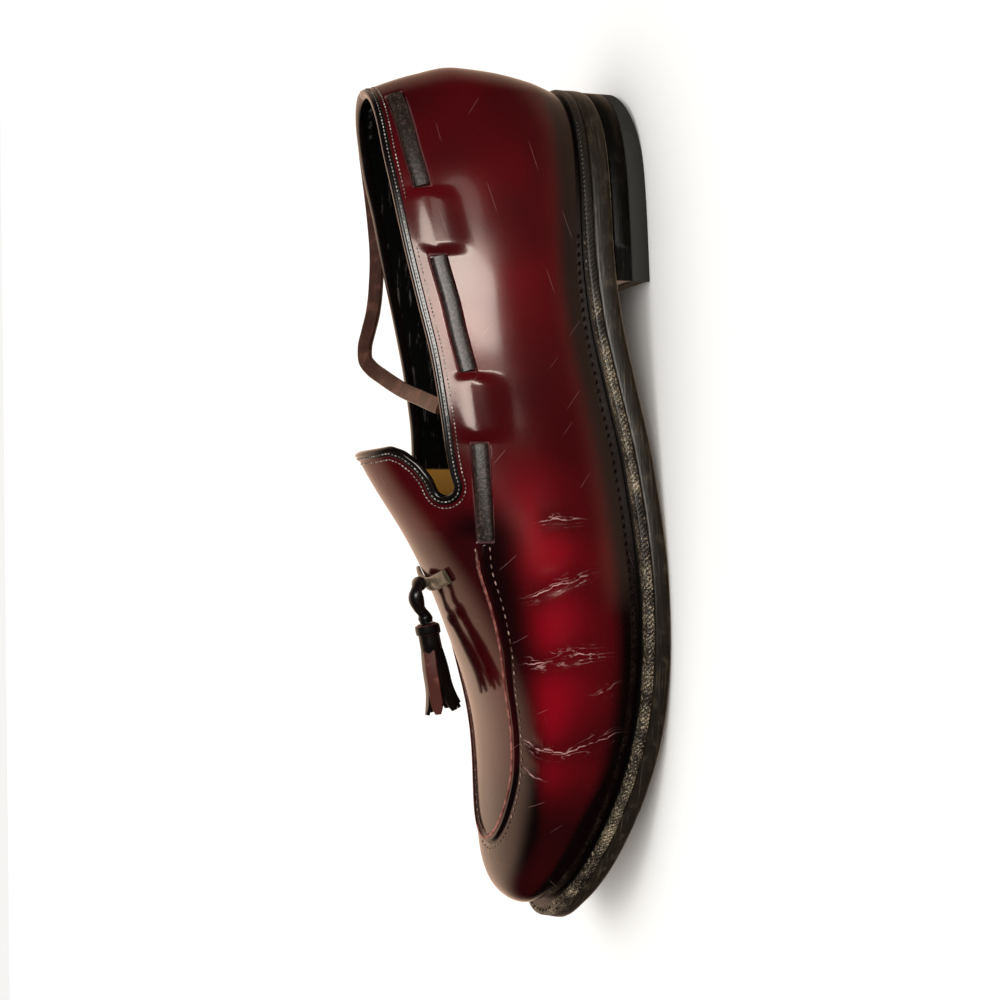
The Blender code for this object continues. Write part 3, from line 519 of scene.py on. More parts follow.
@dataclass(frozen=True)
class Oxblood(Finish):
    """Glazed calf in oxblood, hand burnished darker along the seams, with painted shade along the sole and painted
    light on its sides, worn with fine pale creases.
    """

    deep: str = "#3a0408"
    # the bright red serves both for random tone and for the painted light on the sides
    bright: str = "#7e0112"
    # pale of scuffs, crease lines and scratches, also used for the painted highlight at the window edges
    scuff_and_highlight: str = "#b98886"
    # dark of the burnishing, also used for the painted shade along the foot
    edge: str = "#0a0304"
    tint: str = "#f2ded6"
    cloud: float = 48.0
    pores: float = 1.1
    pore_depth: float = 0.014
    waves: float = 22.0
    wave_depth: float = 0.22
    polish: float = 0.03
    dullness: float = 0.3

    def pattern(self, tree: Tree) -> Inputs:
        """Reds brightened by painted light and darkened by burnishing and painted shade as the mesh says, under
        scuffs, a painted highlight at the window edges, pores and the cream's glaze.
        """
        place = add(tree, "TexCoord")
        names = ("painted_light", "burnish_and_shade", "lip", "flexed")
        painted_light, burnish_and_shade, lip, flexed = (add(tree, "Attribute", attribute_name=name) for name in names)
        # painted light: the red is brightened from deep towards bright where the mesh asks, over random clouds of
        # tone
        lit = add(tree, "TexNoise", {"Vector": place, "Scale": METRE / self.cloud})
        lit = add(tree, "Math", {0: painted_light, 1: lit}, operation="ADD")
        lit = add(tree, "MapRange", {0: lit, 1: 0.38, 2: 1.45})
        colour = add(tree, "Mix", {0: lit, 6: linear(self.deep), 7: linear(self.bright)})
        # burnishing and the painted shade along the foot darken the red towards the edge colour
        colour = add(tree, "Mix", {0: burnish_and_shade, 6: colour, 7: linear(self.edge)})
        worn = add(tree, "Math", {0: self.crease_lines(tree), 1: self.scratches(tree, place)}, operation="MAXIMUM")
        # painted highlight: the windows' cut edges get the pale colour too
        lip = add(tree, "Math", {0: lip, 1: 0.4}, operation="MULTIPLY")
        worn = add(tree, "Math", {0: worn, 1: lip}, operation="MAXIMUM")
        colour = add(tree, "Mix", {0: worn, 6: colour, 7: linear(self.scuff_and_highlight)})
        # the front is polished a little harder than the quarters, and scuffs are dull
        rough = add(tree, "Math", {0: flexed, 1: -self.polish, 2: self.roughness}, operation="MULTIPLY_ADD")
        rough = add(tree, "Math", {0: worn, 1: self.dullness, 2: rough}, operation="MULTIPLY_ADD")
        pores = add(tree, "TexNoise", {"Vector": place, "Scale": METRE / self.pores, "Detail": 4.0})
        waves = add(tree, "TexNoise", {"Vector": place, "Scale": METRE / self.waves, "Detail": 1.0})
        normal = add(tree, "Bump", {"Height": pores, "Distance": self.pore_depth * MM})
        normal = add(tree, "Bump", {"Height": waves, "Distance": self.wave_depth * MM, "Normal": normal})
        # the coat is the cream's glaze: it gives the sharp gleam over the softer one of the leather
        glaze = {"Coat Weight": 0.35, "Coat Roughness": 0.08, "Coat IOR": 1.6, "Specular IOR Level": 0.6}
        glaze["Specular Tint"] = linear(self.tint)
        return {"Base Color": colour, "Roughness": rough, "Normal": normal, **glaze}

    def crease_lines(self, tree: Tree) -> Socket:
        """One broken wandering line along each crease, with finer hairs beside it.

        Args:
            tree: the material's tree.

        Returns:
            The share of scuffed colour.
        """
        crease = add(tree, "Attribute", output="Vector", attribute_name="crease_map")
        parts = add(tree, "SeparateXYZ", {0: crease}).node.outputs
        main = add(tree, "Mapping", {"Vector": crease, "Scale": (0.14, 0.0, 0.0)})
        main = add(tree, "TexNoise", {"Vector": main, "Scale": 1.0, "Detail": 3.0})
        aside = add(tree, "Math", {0: parts[1], 1: 2.2}, operation="SUBTRACT")
        main = add(tree, "Math", {0: main, 1: 4.4, 2: aside}, operation="MULTIPLY_ADD")
        main = add(tree, "Math", {0: main}, operation="ABSOLUTE")
        main = add(tree, "MapRange", {0: main, 1: 0.26, 2: 0.08})
        hairs = add(tree, "Mapping", {"Vector": crease, "Scale": (0.055, 0.36, 0.0)})
        hairs = add(tree, "TexNoise", {"Vector": hairs, "Scale": 1.0, "Detail": 4.0, "Distortion": 0.7})
        hairs = add(tree, "Math", {0: hairs, 1: 0.5}, operation="SUBTRACT")
        hairs = add(tree, "Math", {0: hairs}, operation="ABSOLUTE")
        hairs = add(tree, "MapRange", {0: hairs, 1: 0.02, 2: 0.004})
        hairs = add(tree, "Math", {0: hairs, 1: 0.6}, operation="MULTIPLY")
        broken = add(tree, "TexNoise", {"Vector": crease, "Scale": 0.28, "Detail": 4.0})
        broken = add(tree, "MapRange", {0: broken, 1: 0.36, 2: 0.6})
        lines = add(tree, "Math", {0: main, 1: hairs}, operation="MAXIMUM")
        lines = add(tree, "Math", {0: lines, 1: broken}, operation="MULTIPLY")
        return add(tree, "Math", {0: lines, 1: parts[2]}, operation="MULTIPLY")

    def scratches(self, tree: Tree, place: Socket) -> Socket:
        """Sparse straight hairline scratches, each a few millimetres long.

        Args:
            tree: the material's tree.
            place: the place on the piece.

        Returns:
            The share of scuffed colour.
        """
        shares = []
        for size, across in ((13.0, (0.2, 0.62, 0.76)), (17.0, (0.5, 0.3, -0.81))):
            cells = add(tree, "TexVoronoi", {"Vector": place, "Scale": METRE / size}).node.outputs
            line = add(tree, "VectorMath", {0: place, 1: cells["Position"]}, operation="SUBTRACT")
            line = add(tree, "VectorMath", {0: line, 1: across}, "Value", operation="DOT_PRODUCT")
            line = add(tree, "Math", {0: line}, operation="ABSOLUTE")
            line = add(tree, "MapRange", {0: line, 1: 0.09 * MM, 2: 0.03 * MM})
            reach = add(tree, "MapRange", {0: cells["Distance"], 1: 0.36, 2: 0.22})
            picked = add(tree, "SeparateColor", {0: cells["Color"]})
            picked = add(tree, "Math", {0: picked, 1: 0.7}, operation="GREATER_THAN")
            line = add(tree, "Math", {0: line, 1: reach}, operation="MULTIPLY")
            shares.append(add(tree, "Math", {0: line, 1: picked}, operation="MULTIPLY"))
        both = add(tree, "Math", {0: shares[0], 1: shares[1]}, operation="MAXIMUM")
        return add(tree, "Math", {0: both, 1: 0.22}, operation="MULTIPLY")


@dataclass(frozen=True)
class Lining(Finish):
    """Vegetable-tanned lining: black and streaked in the quarters, tan in the vamp."""

    tan: str = "#fdbb56"
    worn: str = "#6a6662"
    join: float = 12.0

    def pattern(self, tree: Tree) -> Inputs:
        """Streaks along the shoe, and the join between the two leathers."""
        place = add(tree, "TexCoord")
        streaks = add(tree, "Mapping", {"Vector": place, "Scale": (1.0, 0.12, 1.0)})
        streaks = add(tree, "TexNoise", {"Vector": streaks, "Scale": METRE / 2.2, "Detail": 5.0, "Roughness": 0.7})
        streaks = add(tree, "MapRange", {0: streaks, 1: 0.58, 2: 0.70})
        colour = add(tree, "Mix", {0: streaks, 6: linear(self.colour), 7: linear(self.worn)})
        front = add(tree, "SeparateXYZ", {0: place}, 1)
        front = add(tree, "MapRange", {0: front, 1: self.join * MM + 0.0004, 2: self.join * MM - 0.0004})
        colour = add(tree, "Mix", {0: front, 6: colour, 7: linear(self.tan)})
        grain = add(tree, "TexNoise", {"Vector": place, "Scale": METRE / 0.9, "Detail": 3.0})
        normal = add(tree, "Bump", {"Height": grain, "Distance": 0.05 * MM})
        return {"Base Color": colour, "Normal": normal, "Specular IOR Level": 0.25}


@dataclass(frozen=True)
class Grained(Finish):
    """Grained leather strip: small pebbles, paler where handled."""

    pale: str = "#4a382e"
    pebble: float = 0.6
    depth: float = 0.06
    rubbed: float = 0.56
    coat: float = 0.1

    def pattern(self, tree: Tree) -> Inputs:
        """Pebbles in relief and rubbed specks."""
        place = add(tree, "TexCoord")
        pebbles = {"Vector": place, "Scale": METRE / self.pebble}
        pebbles = add(tree, "TexVoronoi", pebbles, "Distance", feature="SMOOTH_F1")
        speck = {"Vector": place, "Scale": METRE / (self.pebble * 1.7), "Detail": 4.0, "Roughness": 0.7}
        share = add(tree, "TexNoise", speck)
        share = add(tree, "MapRange", {0: share, 1: self.rubbed - 0.08, 2: self.rubbed + 0.1})
        colour = add(tree, "Mix", {0: share, 6: linear(self.colour), 7: linear(self.pale)})
        normal = add(tree, "Bump", {"Height": pebbles, "Distance": self.depth * MM})
        return {"Base Color": colour, "Normal": normal, "Coat Weight": self.coat, "Coat Roughness": 0.2}


@dataclass(frozen=True)
class Smooth(Finish):
    """Smooth dressed leather, rubber or thread with faint cloudy wear."""

    pale: str = "#3a352c"
    cloud: float = 6.0
    share: float = 0.66
    coat: float = 0.0
    gloss: float = 0.5
    layers: float = 0.0

    def pattern(self, tree: Tree) -> Inputs:
        """Clouds of wear, over layers where the leather is stacked."""
        place = add(tree, "TexCoord")
        wear = {"Vector": place, "Scale": METRE / self.cloud, "Detail": 5.0, "Roughness": 0.65}
        share = add(tree, "TexNoise", wear)
        share = add(tree, "MapRange", {0: share, 1: self.share - 0.14, 2: self.share + 0.14})
        grain = add(tree, "TexNoise", {"Vector": place, "Scale": METRE / 0.8, "Detail": 4.0})
        relief = {"Height": grain, "Distance": 0.03 * MM}
        if self.layers:
            # trimmed leather shows its layers as fine level lines
            level = add(tree, "Mapping", {"Vector": place, "Scale": (0.03, 0.03, 1.0)})
            lines = {"Vector": level, "Scale": METRE / self.layers, "Detail": 3.0, "Roughness": 0.7}
            lines = add(tree, "TexNoise", lines)
            relief["Normal"] = add(tree, "Bump", {"Height": lines, "Distance": 0.12 * MM})
            lines = add(tree, "MapRange", {0: lines, 1: 0.54, 2: 0.72})
            share = add(tree, "Math", {0: share, 1: lines}, operation="MAXIMUM")
        colour = add(tree, "Mix", {0: share, 6: linear(self.colour), 7: linear(self.pale)})
        dressing = {"Coat Weight": self.coat, "Coat Roughness": 0.15, "Specular IOR Level": self.gloss}
        return {"Base Color": colour, "Normal": add(tree, "Bump", relief), **dressing}


@dataclass(frozen=True)
class Wheeled(Finish):
    """Welt leather: rubbed pale grain, darker round the heel, with a wheel's fine marks across its edge."""

    pale: str = "#c8b290"
    # near-black painted shade where the upper meets the welt
    crevice_shade: str = "#050403"
    grain: float = 0.55
    cloud: float = 9.0
    pitch: float = 1.6

    def pattern(self, tree: Tree) -> Inputs:
        """Rubbed grain broken by the wheel's marks, dark at the heel, with painted shade against the upper."""
        place = add(tree, "TexCoord")
        along, aside = (add(tree, "Attribute", attribute_name=name) for name in ("along", "aside"))
        speck = {"Vector": place, "Scale": METRE / self.grain, "Detail": 4.0, "Roughness": 0.75}
        speck = add(tree, "TexNoise", speck)
        share = add(tree, "TexNoise", {"Vector": place, "Scale": METRE / self.cloud})
        share = add(tree, "Math", {0: share, 1: 0.35, 2: speck}, operation="MULTIPLY_ADD")
        share = add(tree, "MapRange", {0: share, 1: 0.66, 2: 0.86})
        front = add(tree, "SeparateXYZ", {0: place}, 1)
        front = add(tree, "MapRange", {0: front, 1: 0.075, 2: 0.055})
        front = add(tree, "Math", {0: front, 1: 0.94, 2: 0.06}, operation="MULTIPLY_ADD")
        share = add(tree, "Math", {0: share, 1: front}, operation="MULTIPLY")
        wheel = add(tree, "Math", {0: aside, 1: 0.9, 2: along}, operation="MULTIPLY_ADD")
        wheel = add(tree, "Math", {0: wheel, 1: 2 * math.pi / self.pitch}, operation="MULTIPLY")
        wheel = add(tree, "Math", {0: wheel}, operation="SINE")
        marks = add(tree, "Math", {0: wheel, 1: 0.4, 2: 0.75}, operation="MULTIPLY_ADD")
        share = add(tree, "Math", {0: share, 1: marks}, operation="MULTIPLY")
        colour = add(tree, "Mix", {0: share, 6: linear(self.colour), 7: linear(self.pale)})
        # painted shade darkens the welt where the upper meets it
        inner = add(tree, "MapRange", {0: aside, 1: -1.8, 2: -3.6})
        colour = add(tree, "Mix", {0: inner, 6: colour, 7: linear(self.crevice_shade)})
        outer = add(tree, "Math", {0: inner, 1: -1.0, 2: 1.0}, operation="MULTIPLY_ADD")
        wheel = add(tree, "Math", {0: wheel, 1: outer}, operation="MULTIPLY")
        normal = add(tree, "Bump", {"Height": speck, "Distance": 0.16 * MM})
        normal = add(tree, "Bump", {"Height": wheel, "Distance": 0.09 * MM, "Normal": normal})
        return {"Base Color": colour, "Normal": normal, "Coat Weight": 0.25, "Coat Roughness": 0.25}


@dataclass(frozen=True)
class Tread(Finish):
    """Worn underside: fine cross ribs, dusty in the middle."""

    dust: str = "#8f7f66"
    cloud: float = 34.0
    grain: float = 1.4
    rib: float = 1.9

    def pattern(self, tree: Tree) -> Inputs:
        """Dust in clouds over ribs across the shoe."""
        place = add(tree, "TexCoord")
        cloud, speck = (
            add(tree, "TexNoise", {"Vector": place, "Scale": METRE / size, "Detail": detail, "Roughness": 0.7})
            for size, detail in ((self.cloud, 5.0), (self.grain, 4.0))
        )
        share = add(tree, "Math", {0: speck, 1: 0.6, 2: cloud}, operation="MULTIPLY_ADD")
        share = add(tree, "MapRange", {0: share, 1: 0.62, 2: 1.02})
        colour = add(tree, "Mix", {0: share, 6: linear(self.colour), 7: linear(self.dust)})
        ribs = add(tree, "SeparateXYZ", {0: place}, 1)
        ribs = add(tree, "Math", {0: ribs, 1: 2000 * math.pi / self.rib}, operation="MULTIPLY")
        ribs = add(tree, "Math", {0: ribs}, operation="SINE")
        normal = add(tree, "Bump", {"Height": ribs, "Distance": 0.08 * MM})
        normal = add(tree, "Bump", {"Height": speck, "Distance": 0.1 * MM, "Normal": normal})
        return {"Base Color": colour, "Normal": normal}


class Finishes(Enum):
    """Every finish of the shoe and its stage, with what each gives the eye."""

    # the deep wine red that carries the whole shoe, under a sharp gleam
    OXBLOOD = Oxblood("glazed_oxblood_calf", "#4a0410", 0.17)
    # dark inside, warm tan deep in the vamp
    LINING = Lining("quarter_and_vamp_lining", "#030303", 0.45)
    # a shiny black outline round the opening, with its grey and white thread
    BINDING = Smooth("black_folded_binding", "#0a0707", 0.2, pale="#1c1716", coat=0.9)
    BLACK_THREAD = Smooth("waxed_binding_thread", "#4c4440", 0.3, pale="#c8beb4", cloud=2.0, share=0.55, coat=0.5)
    # dull brown bars in the quarters' windows, the paler strap over the vamp and the redder slack run
    LACE = Grained("dark_brown_grained_lace", "#1e110c", 0.42)
    STRAP = Smooth("grey_brown_vamp_lace", "#4c4134", 0.3, pale="#80705a", cloud=4.0, share=0.56, coat=0.4)
    SLACK = Smooth("brown_flat_lace", "#3c2016", 0.34, pale="#623a2c", cloud=5.0, share=0.6, coat=0.15)
    # black strips and heads with a soft sheen, and the one strip and ring ends that show brown
    TASSEL = Smooth("black_tassel_leather", "#0b0807", 0.3, pale="#241715", coat=0.3)
    TASSEL_EDGE = Smooth("brown_tassel_leather", "#4c1d15", 0.35, pale="#7c4638", coat=0.2)
    # the apron's raised seam: an edge strip of paler red, its paleness a painted highlight along the ridge, between
    # two rows of pale thread
    APRON_EDGE = Smooth("apron_cut_edge", "#5a1c1a", 0.4, pale="#9a5c52", cloud=3.0, share=0.55)
    THREAD = Smooth("waxed_apron_thread", "#4c2a24", 0.4, pale="#ae8c7e", cloud=2.5, share=0.54)
    # the pale speckled line between upper and sole, and its stitches
    WELT = Wheeled("wheeled_welt_strip", "#1a140e", 0.4)
    WELT_THREAD = Smooth("welt_thread", "#3c3124", 0.45, pale="#9a8a72", cloud=2.0, share=0.6)
    # a dark brown sole edge with fine level lines, over a dusty ribbed tread
    SOLE_EDGE = Smooth("dressed_sole_edge", "#1e180f", 0.34, pale="#4a4032", layers=0.5)
    TREAD = Tread("worn_ribbed_tread", "#3a2e20", 0.6)
    # a nearly black heel that ends in dull rubber
    HEEL = Smooth("dressed_heel_edge", "#080705", 0.36, pale="#1a1810", gloss=0.15, layers=0.45)
    RUBBER = Smooth("heel_rubber", "#1a160e", 0.45, pale="#3a3426", gloss=0.2, layers=0.9)
    # leather under the foot, painted dark brown as shade over its tan, deep inside the shoe
    INSOLE = Smooth("insole_darkened_as_shade", "#3a2512", 0.5, pale="#24170c")
    # a white ground that takes soft shadows
    PAPER = Finish("pale_studio_paper", "#f2f1ef", 0.8)

    def material(self) -> Material:
        """The finish's material, made on first use."""
        return bpy.data.materials.get(self.value.name) or self.value.build()


# ---- the upper's lines


APRON_SEAM = (
    (167.0, 0.295), (177.0, 0.313), (189.0, 0.320), (202.0, 0.333), (219.0, 0.360),
    (233.0, 0.367), (246.0, 0.372), (256.0, 0.386), (264.6, 0.409), (270.6, 0.446),
    (273.8, 0.500),
)
LACE_PATH = (
    (0.0, 0.266), (8.0, 0.263), (29.0, 0.251), (47.0, 0.234), (72.0, 0.216),
    (90.0, 0.206), (109.0, 0.204), (133.0, 0.223), (148.0, 0.245), (168.0, 0.287),
)
WINDOWS = {
    False: {"rear": (9.0, 46.5), "middle": (71.0, 109.0), "front": (133.5, 165.5)},
    True: {"rear": (10.0, 35.0), "middle": (54.0, 85.0), "front": (110.0, 142.0)},
}
LACE_WIDTH = 5.2
LACE_THICKNESS = 1.3
WINDOW_DEPTH = 1.25
WINDOW_MARGIN = 0.4
WINDOW_WALL = 0.45
TUNNEL_HEIGHT = 1.2
TUNNEL_ABOVE = 9.5
TUNNEL_BELOW = 14.0
TUNNEL_END = 3.2
TUNNEL_SPREAD = 1.2
SEAM_HEIGHT = 1.1
SEAM_HALF_WIDTH = 1.7


def last_route(route: Table, scale: float, count: int) -> tuple[Array, Array]:
    """Stations and turns of an even curve through rows of both, with one turn as long as the scale."""
    rows = route_curve([(station, turn * scale) for station, turn in route], count)
    return rows[:, 0], rows[:, 1] / scale


def lace_turn(station: Array, medial: bool) -> Array:
    """Turn of the lace's path at a station."""
    turn = read_table(LACE_PATH, station)
    return 1 - turn if medial else turn


def distance_to(points: Array, line: Array) -> Array:
    """How far points lie from a line.

    Args:
        points: the points.
        line: close points of the line.

    Returns:
        The distances in millimetres.
    """
    away = np.full(points.shape[:-1], 1e9)
    for spot in line:
        away = np.minimum(away, np.linalg.norm(points - spot, axis=-1))
    return away


class ApronSeam:
    """The raised hand-sewn seam round the apron, as a line of stations and turns."""

    def __init__(self, count: int = 240) -> None:
        """Reads the seam from its lateral start round the toe to its medial start."""
        rows = np.array(APRON_SEAM)
        rows = np.concatenate([rows, np.stack([rows[-2::-1, 0], 1 - rows[-2::-1, 1]], axis=-1)])
        marks = np.arange(len(rows))
        where = np.linspace(0, len(rows) - 1, count)
        self.stations = smooth_curve(marks, rows[:, 0], where)
        self.turns = smooth_curve(marks, rows[:, 1], where)
        self.points, self.normals, _ = LAST.frame(self.stations, self.turns)

    def relief(self, points: Array) -> Array:
        """Height of the ridge at points of the last."""
        return SEAM_HEIGHT * soft_step(1.35 - distance_to(points, self.points) / SEAM_HALF_WIDTH)


SEAM = ApronSeam()


def tunnel_relief(station: Array, turn: Array, turn_length: Array) -> Array:
    """Rise of the leather where the lace runs under it between two windows.

    Args:
        station: stations of points of the last.
        turn: their turns.
        turn_length: length of one turn there.

    Returns:
        The rise in millimetres.
    """
    relief = np.zeros_like(station)
    for medial, windows in WINDOWS.items():
        up = (turn - lace_turn(station, medial)) * turn_length * (-1 if medial else 1)
        away = np.clip(np.where(up > 0, up / TUNNEL_ABOVE, -up / TUNNEL_BELOW), 0, 1)
        across = (1 - away**2) ** 2
        spans = sorted(windows.values())
        for (_, start), (end, _) in zip(spans[:-1], spans[1:]):
            ends = np.minimum(station - start, end - station) / TUNNEL_END / (1 + TUNNEL_SPREAD * away)
            relief = relief + TUNNEL_HEIGHT * across * soft_step(np.clip(ends, 0, 1))
    return relief


def window_share(station: Array, turn: Array, turn_length: Array) -> Array:
    """How deep points lie in the lace's windows.

    Args:
        station: stations of points of the last.
        turn: their turns.
        turn_length: length of one turn there.

    Returns:
        Shares, from 0 outside to 1 on a window's floor.
    """
    share = np.zeros_like(station)
    reach = WINDOW_MARGIN + WINDOW_WALL / 2
    for medial, windows in WINDOWS.items():
        away = np.abs(turn - lace_turn(station, medial)) * turn_length
        across = (LACE_WIDTH / 2 + reach - away) / WINDOW_WALL
        for start, end in windows.values():
            ends = (np.minimum(station - start, end - station) + reach) / WINDOW_WALL
            share = np.maximum(share, np.clip(np.minimum(across, ends), 0, 1))
    return share


@dataclass(frozen=True)
class Crease:
    """A flex crease: a soft trough with a low ridge on each side.

    Args:
        route: stations and turns along it.
        depth: depth of the trough, in millimetres.
        width: half width of the trough.
        reach: how far its fine lines spread to each side.
        shade: how far its painted shade reaches.
        fade: how far from its ends it is full.
    """

    route: Table
    depth: float = 0.5
    width: float = 2.2
    reach: float = 2.4
    shade: float = 7.0
    fade: float = 12.0

    def relief(self, points: Array) -> tuple[Array, ...]:
        """What the crease does to points of the last.

        Args:
            points: the points.

        Returns:
            Height it adds, how close each is, tightly and broadly, and its place along and across the crease.
        """
        route = route_curve(self.route, 60)
        line, _, _ = LAST.frame(route[:, 0], route[:, 1])
        marks = lengths_along(line)
        away = np.full(points.shape[:-1], 1e9)
        along = np.zeros(points.shape[:-1])
        across = np.zeros(points.shape[:-1])
        for spot, mark in zip(line, marks):
            gap = np.linalg.norm(points - spot, axis=-1)
            along = np.where(gap < away, mark, along)
            across = np.where(gap < away, points[..., 1] - spot[1], across)
            away = np.minimum(away, gap)
        left = marks[-1] - along
        full = soft_step(along / self.fade) * soft_step(left / self.fade)
        share = away / self.width
        height = self.depth * full * (0.55 * np.exp(-((share - 2.0) ** 2)) - np.exp(-(share**2)))
        ends = soft_step(along * 2 / self.fade + 0.2) * soft_step(left * 2 / self.fade + 0.2)
        close = np.exp(-((away / self.reach) ** 4)) * ends
        return height, close, np.exp(-((away / self.shade) ** 2)) * ends, along, across


CREASES = (
    Crease(((184.6, 0.245), (181.5, 0.190), (178.6, 0.140), (176.4, 0.105)), 0.4, 2.0),
    Crease(((207.4, 0.300), (205.6, 0.230), (203.6, 0.165), (203.0, 0.105)), 0.5, 2.2, 2.7),
    Crease(((232.8, 0.345), (236.4, 0.290), (236.8, 0.240), (234.4, 0.160), (230.0, 0.070)), 0.55, 2.2, 2.6),
    Crease(((217.0, 0.135), (215.0, 0.100), (213.0, 0.075)), 0.15, 1.6, 1.8),
    Crease(((159.6, 0.190), (158.8, 0.150), (158.6, 0.110)), 0.15, 1.8, 1.8),
    Crease(((243.0, 0.345), (245.6, 0.310), (247.4, 0.270)), 0.25, 1.8, 1.8),
    Crease(((180.0, 0.760), (183.0, 0.820), (187.0, 0.890)), 0.35, 2.0),
    Crease(((204.0, 0.700), (208.0, 0.790), (211.0, 0.880)), 0.5, 2.2),
    Crease(((230.0, 0.665), (234.0, 0.750), (233.0, 0.860)), 0.45, 2.2),
)


# ---- the collar's edge


COLLAR_EDGE = (
    (-8.0, 94.5), (13.0, 93.0), (34.0, 91.0), (51.0, 87.9), (69.0, 84.2), (87.0, 80.1),
    (104.0, 76.2), (124.0, 73.2), (138.0, 71.4), (144.0, 70.2),
)
COLLAR_STEPS = 40
THROAT_CENTRE = (147.8, 71.8)
THROAT_RADIUS = 2.8
THROAT_ARC = (-95, 60)
TONGUE_EDGE = ((144.5, 76.2), (139.5, 80.0), (135.6, 84.8), (134.0, 89.3), (135.0, 94.0), (136.5, 103.0))
COLLAR_DROP = (
    (0.0, 0.5), (9.0, 2.0), (32.0, 6.0), (51.0, 7.5), (80.0, 7.0), (104.0, 5.8),
    (124.0, 5.2), (146.0, 2.5), (170.0, 0.0),
)
COLLAR_DROP_SIDE = 31.0
BINDING_WIDTH = 3.0
BINDING_PROUD = 0.4


class CollarEdge:
    """The opening's edge: an outline seen from the side, dropped towards the medial side."""

    def __init__(self) -> None:
        """Draws the outline from the back of the collar round the throat to the tongue's tip."""
        arc = np.radians(np.linspace(*THROAT_ARC, 14))
        throat = np.array(THROAT_CENTRE) + THROAT_RADIUS * np.stack([np.cos(arc), np.sin(arc)], axis=-1)
        back, collar = np.array(COLLAR_EDGE)[[0, -1], 0]
        stations = np.linspace(back, collar, COLLAR_STEPS)
        topline = np.stack([stations, read_table(COLLAR_EDGE, stations)], axis=-1)
        tongue = read_rows(np.linspace(0, 5, 21), np.arange(6), np.array(TONGUE_EDGE))
        self.outline = np.concatenate([topline, throat, tongue])

    def undropped(self, points: Array) -> Array:
        """Stations and heights of points as they would be on the lateral side."""
        share = (COLLAR_DROP_SIDE - points[..., 0]) / (2 * COLLAR_DROP_SIDE)
        return np.stack([points[..., 1], points[..., 2] + read_table(COLLAR_DROP, points[..., 1]) * share], axis=-1)

    def signed(self, points: Array) -> Array:
        """How far points lie from the edge, seen from the side.

        Args:
            points: points of the shoe.

        Returns:
            Distances in millimetres, negative in the opening.
        """
        flat = self.undropped(points)
        best = np.full(flat.shape[:-1], 1e9)
        sign = np.ones(flat.shape[:-1])
        for start, end in zip(self.outline[:-1], self.outline[1:]):
            along = end - start
            length = np.linalg.norm(along)
            offset = flat - start
            share = np.clip((offset @ along) / length**2, 0, 1)
            gap = np.linalg.norm(offset - share[..., None] * along, axis=-1)
            cross = along[0] * offset[..., 1] - along[1] * offset[..., 0]
            closer = gap < best - 1e-9
            sign = np.where(closer, np.where(cross > 0, -1.0, 1.0), sign)
            best = np.minimum(best, gap)
        return best * sign


COLLAR = CollarEdge()


def march_edge(level: float, step: float = 0.9) -> tuple[Array, Array]:
    """Follows the line on the last that lies a given distance below the collar's edge.

    Args:
        level: that distance, in millimetres.
        step: distance between points.

    Returns:
        Stations and turns from the back of the heel, along the lateral side and round to the back again.
    """

    def field(station: float, turn: float) -> float:
        """How far below the wanted line a point of the last lies."""
        return float(COLLAR.signed(LAST.point(station, turn))) - level

    low, high = 0.02, 0.45
    for _ in range(30):
        middle = (low + high) / 2
        low, high = (middle, high) if field(0.0, middle) > 0 else (low, middle)
    station, turn = 0.0, low
    heading = np.array([1.0, 0.0])
    route = [(station, turn)]
    for _ in range(1200):
        length = float(LAST.frame(max(station, 1.0), turn)[2])
        for _ in range(2):
            value = field(station, turn)
            slope = np.array([field(station + 0.2, turn), field(station, turn + 0.2 / length)])
            slope = (slope - value) / 0.2
            change = slope * value / max(float(slope @ slope), 1e-6)
            station, turn = station - change[0], turn - change[1] / length
        tangent = np.array([-slope[1], slope[0]]) / np.linalg.norm(slope)
        tangent = tangent if tangent @ heading > 0 else -tangent
        heading = tangent
        route.append((station, turn))
        station, turn = station + tangent[0] * step, turn + tangent[1] * step / length
        if station <= 0.0 and turn > 0.5:
            break
    route[1:] = [spot for spot in route[1:] if spot[0] > 0.3]
    stations, turns = np.array(route).T
    return np.append(stations, 0.0), np.append(turns, turns[-1])


# ---- upper


@dataclass(frozen=True)
class GridDensity:
    """How the upper's skin is divided: its cells, and how much closer they lie along its lines."""

    columns: int = 260
    rows: int = 300
    below: float = 0.36
    band: int = 11
    band_pitch: float = 0.36
    full_girth: float = 170.0
    seam: float = 3.0
    seam_width: float = 2.6
    seam_span: tuple[float, float] = (163.0, 280.0)
    ends: float = 2.0
    # station, reach, power and strength of each crowding of rows: at the heel, the toe and the seam's tip
    crowds: Table = ((0.0, 5.0, 2, 1.8), (300.0, 7.0, 2, 3.5), (271.5, 7.0, 4, 2.2))


@dataclass(frozen=True)
class Shading:
    """Where the hand burnishing and the painted shade lie and where painted light brightens the red, in millimetres
    and as strengths.
    """

    # reach of the darkening beside the seam, and strengths of the burnishing beside it, on the apron, at the toe and
    # at the heel
    seam: float = 13.5
    beside_seam: float = 0.95
    apron: float = 0.5
    toe: float = 0.75
    heel: float = 0.4
    # painted light: strength of the brighter red band along the sides, and how much it rises towards the front
    painted_light: float = 0.14
    front_painted_light: float = 0.62
    # how much of the painted light the painted shade in the creases takes away
    crease_shade: float = 0.75
    crease_spacing: float = 60.0


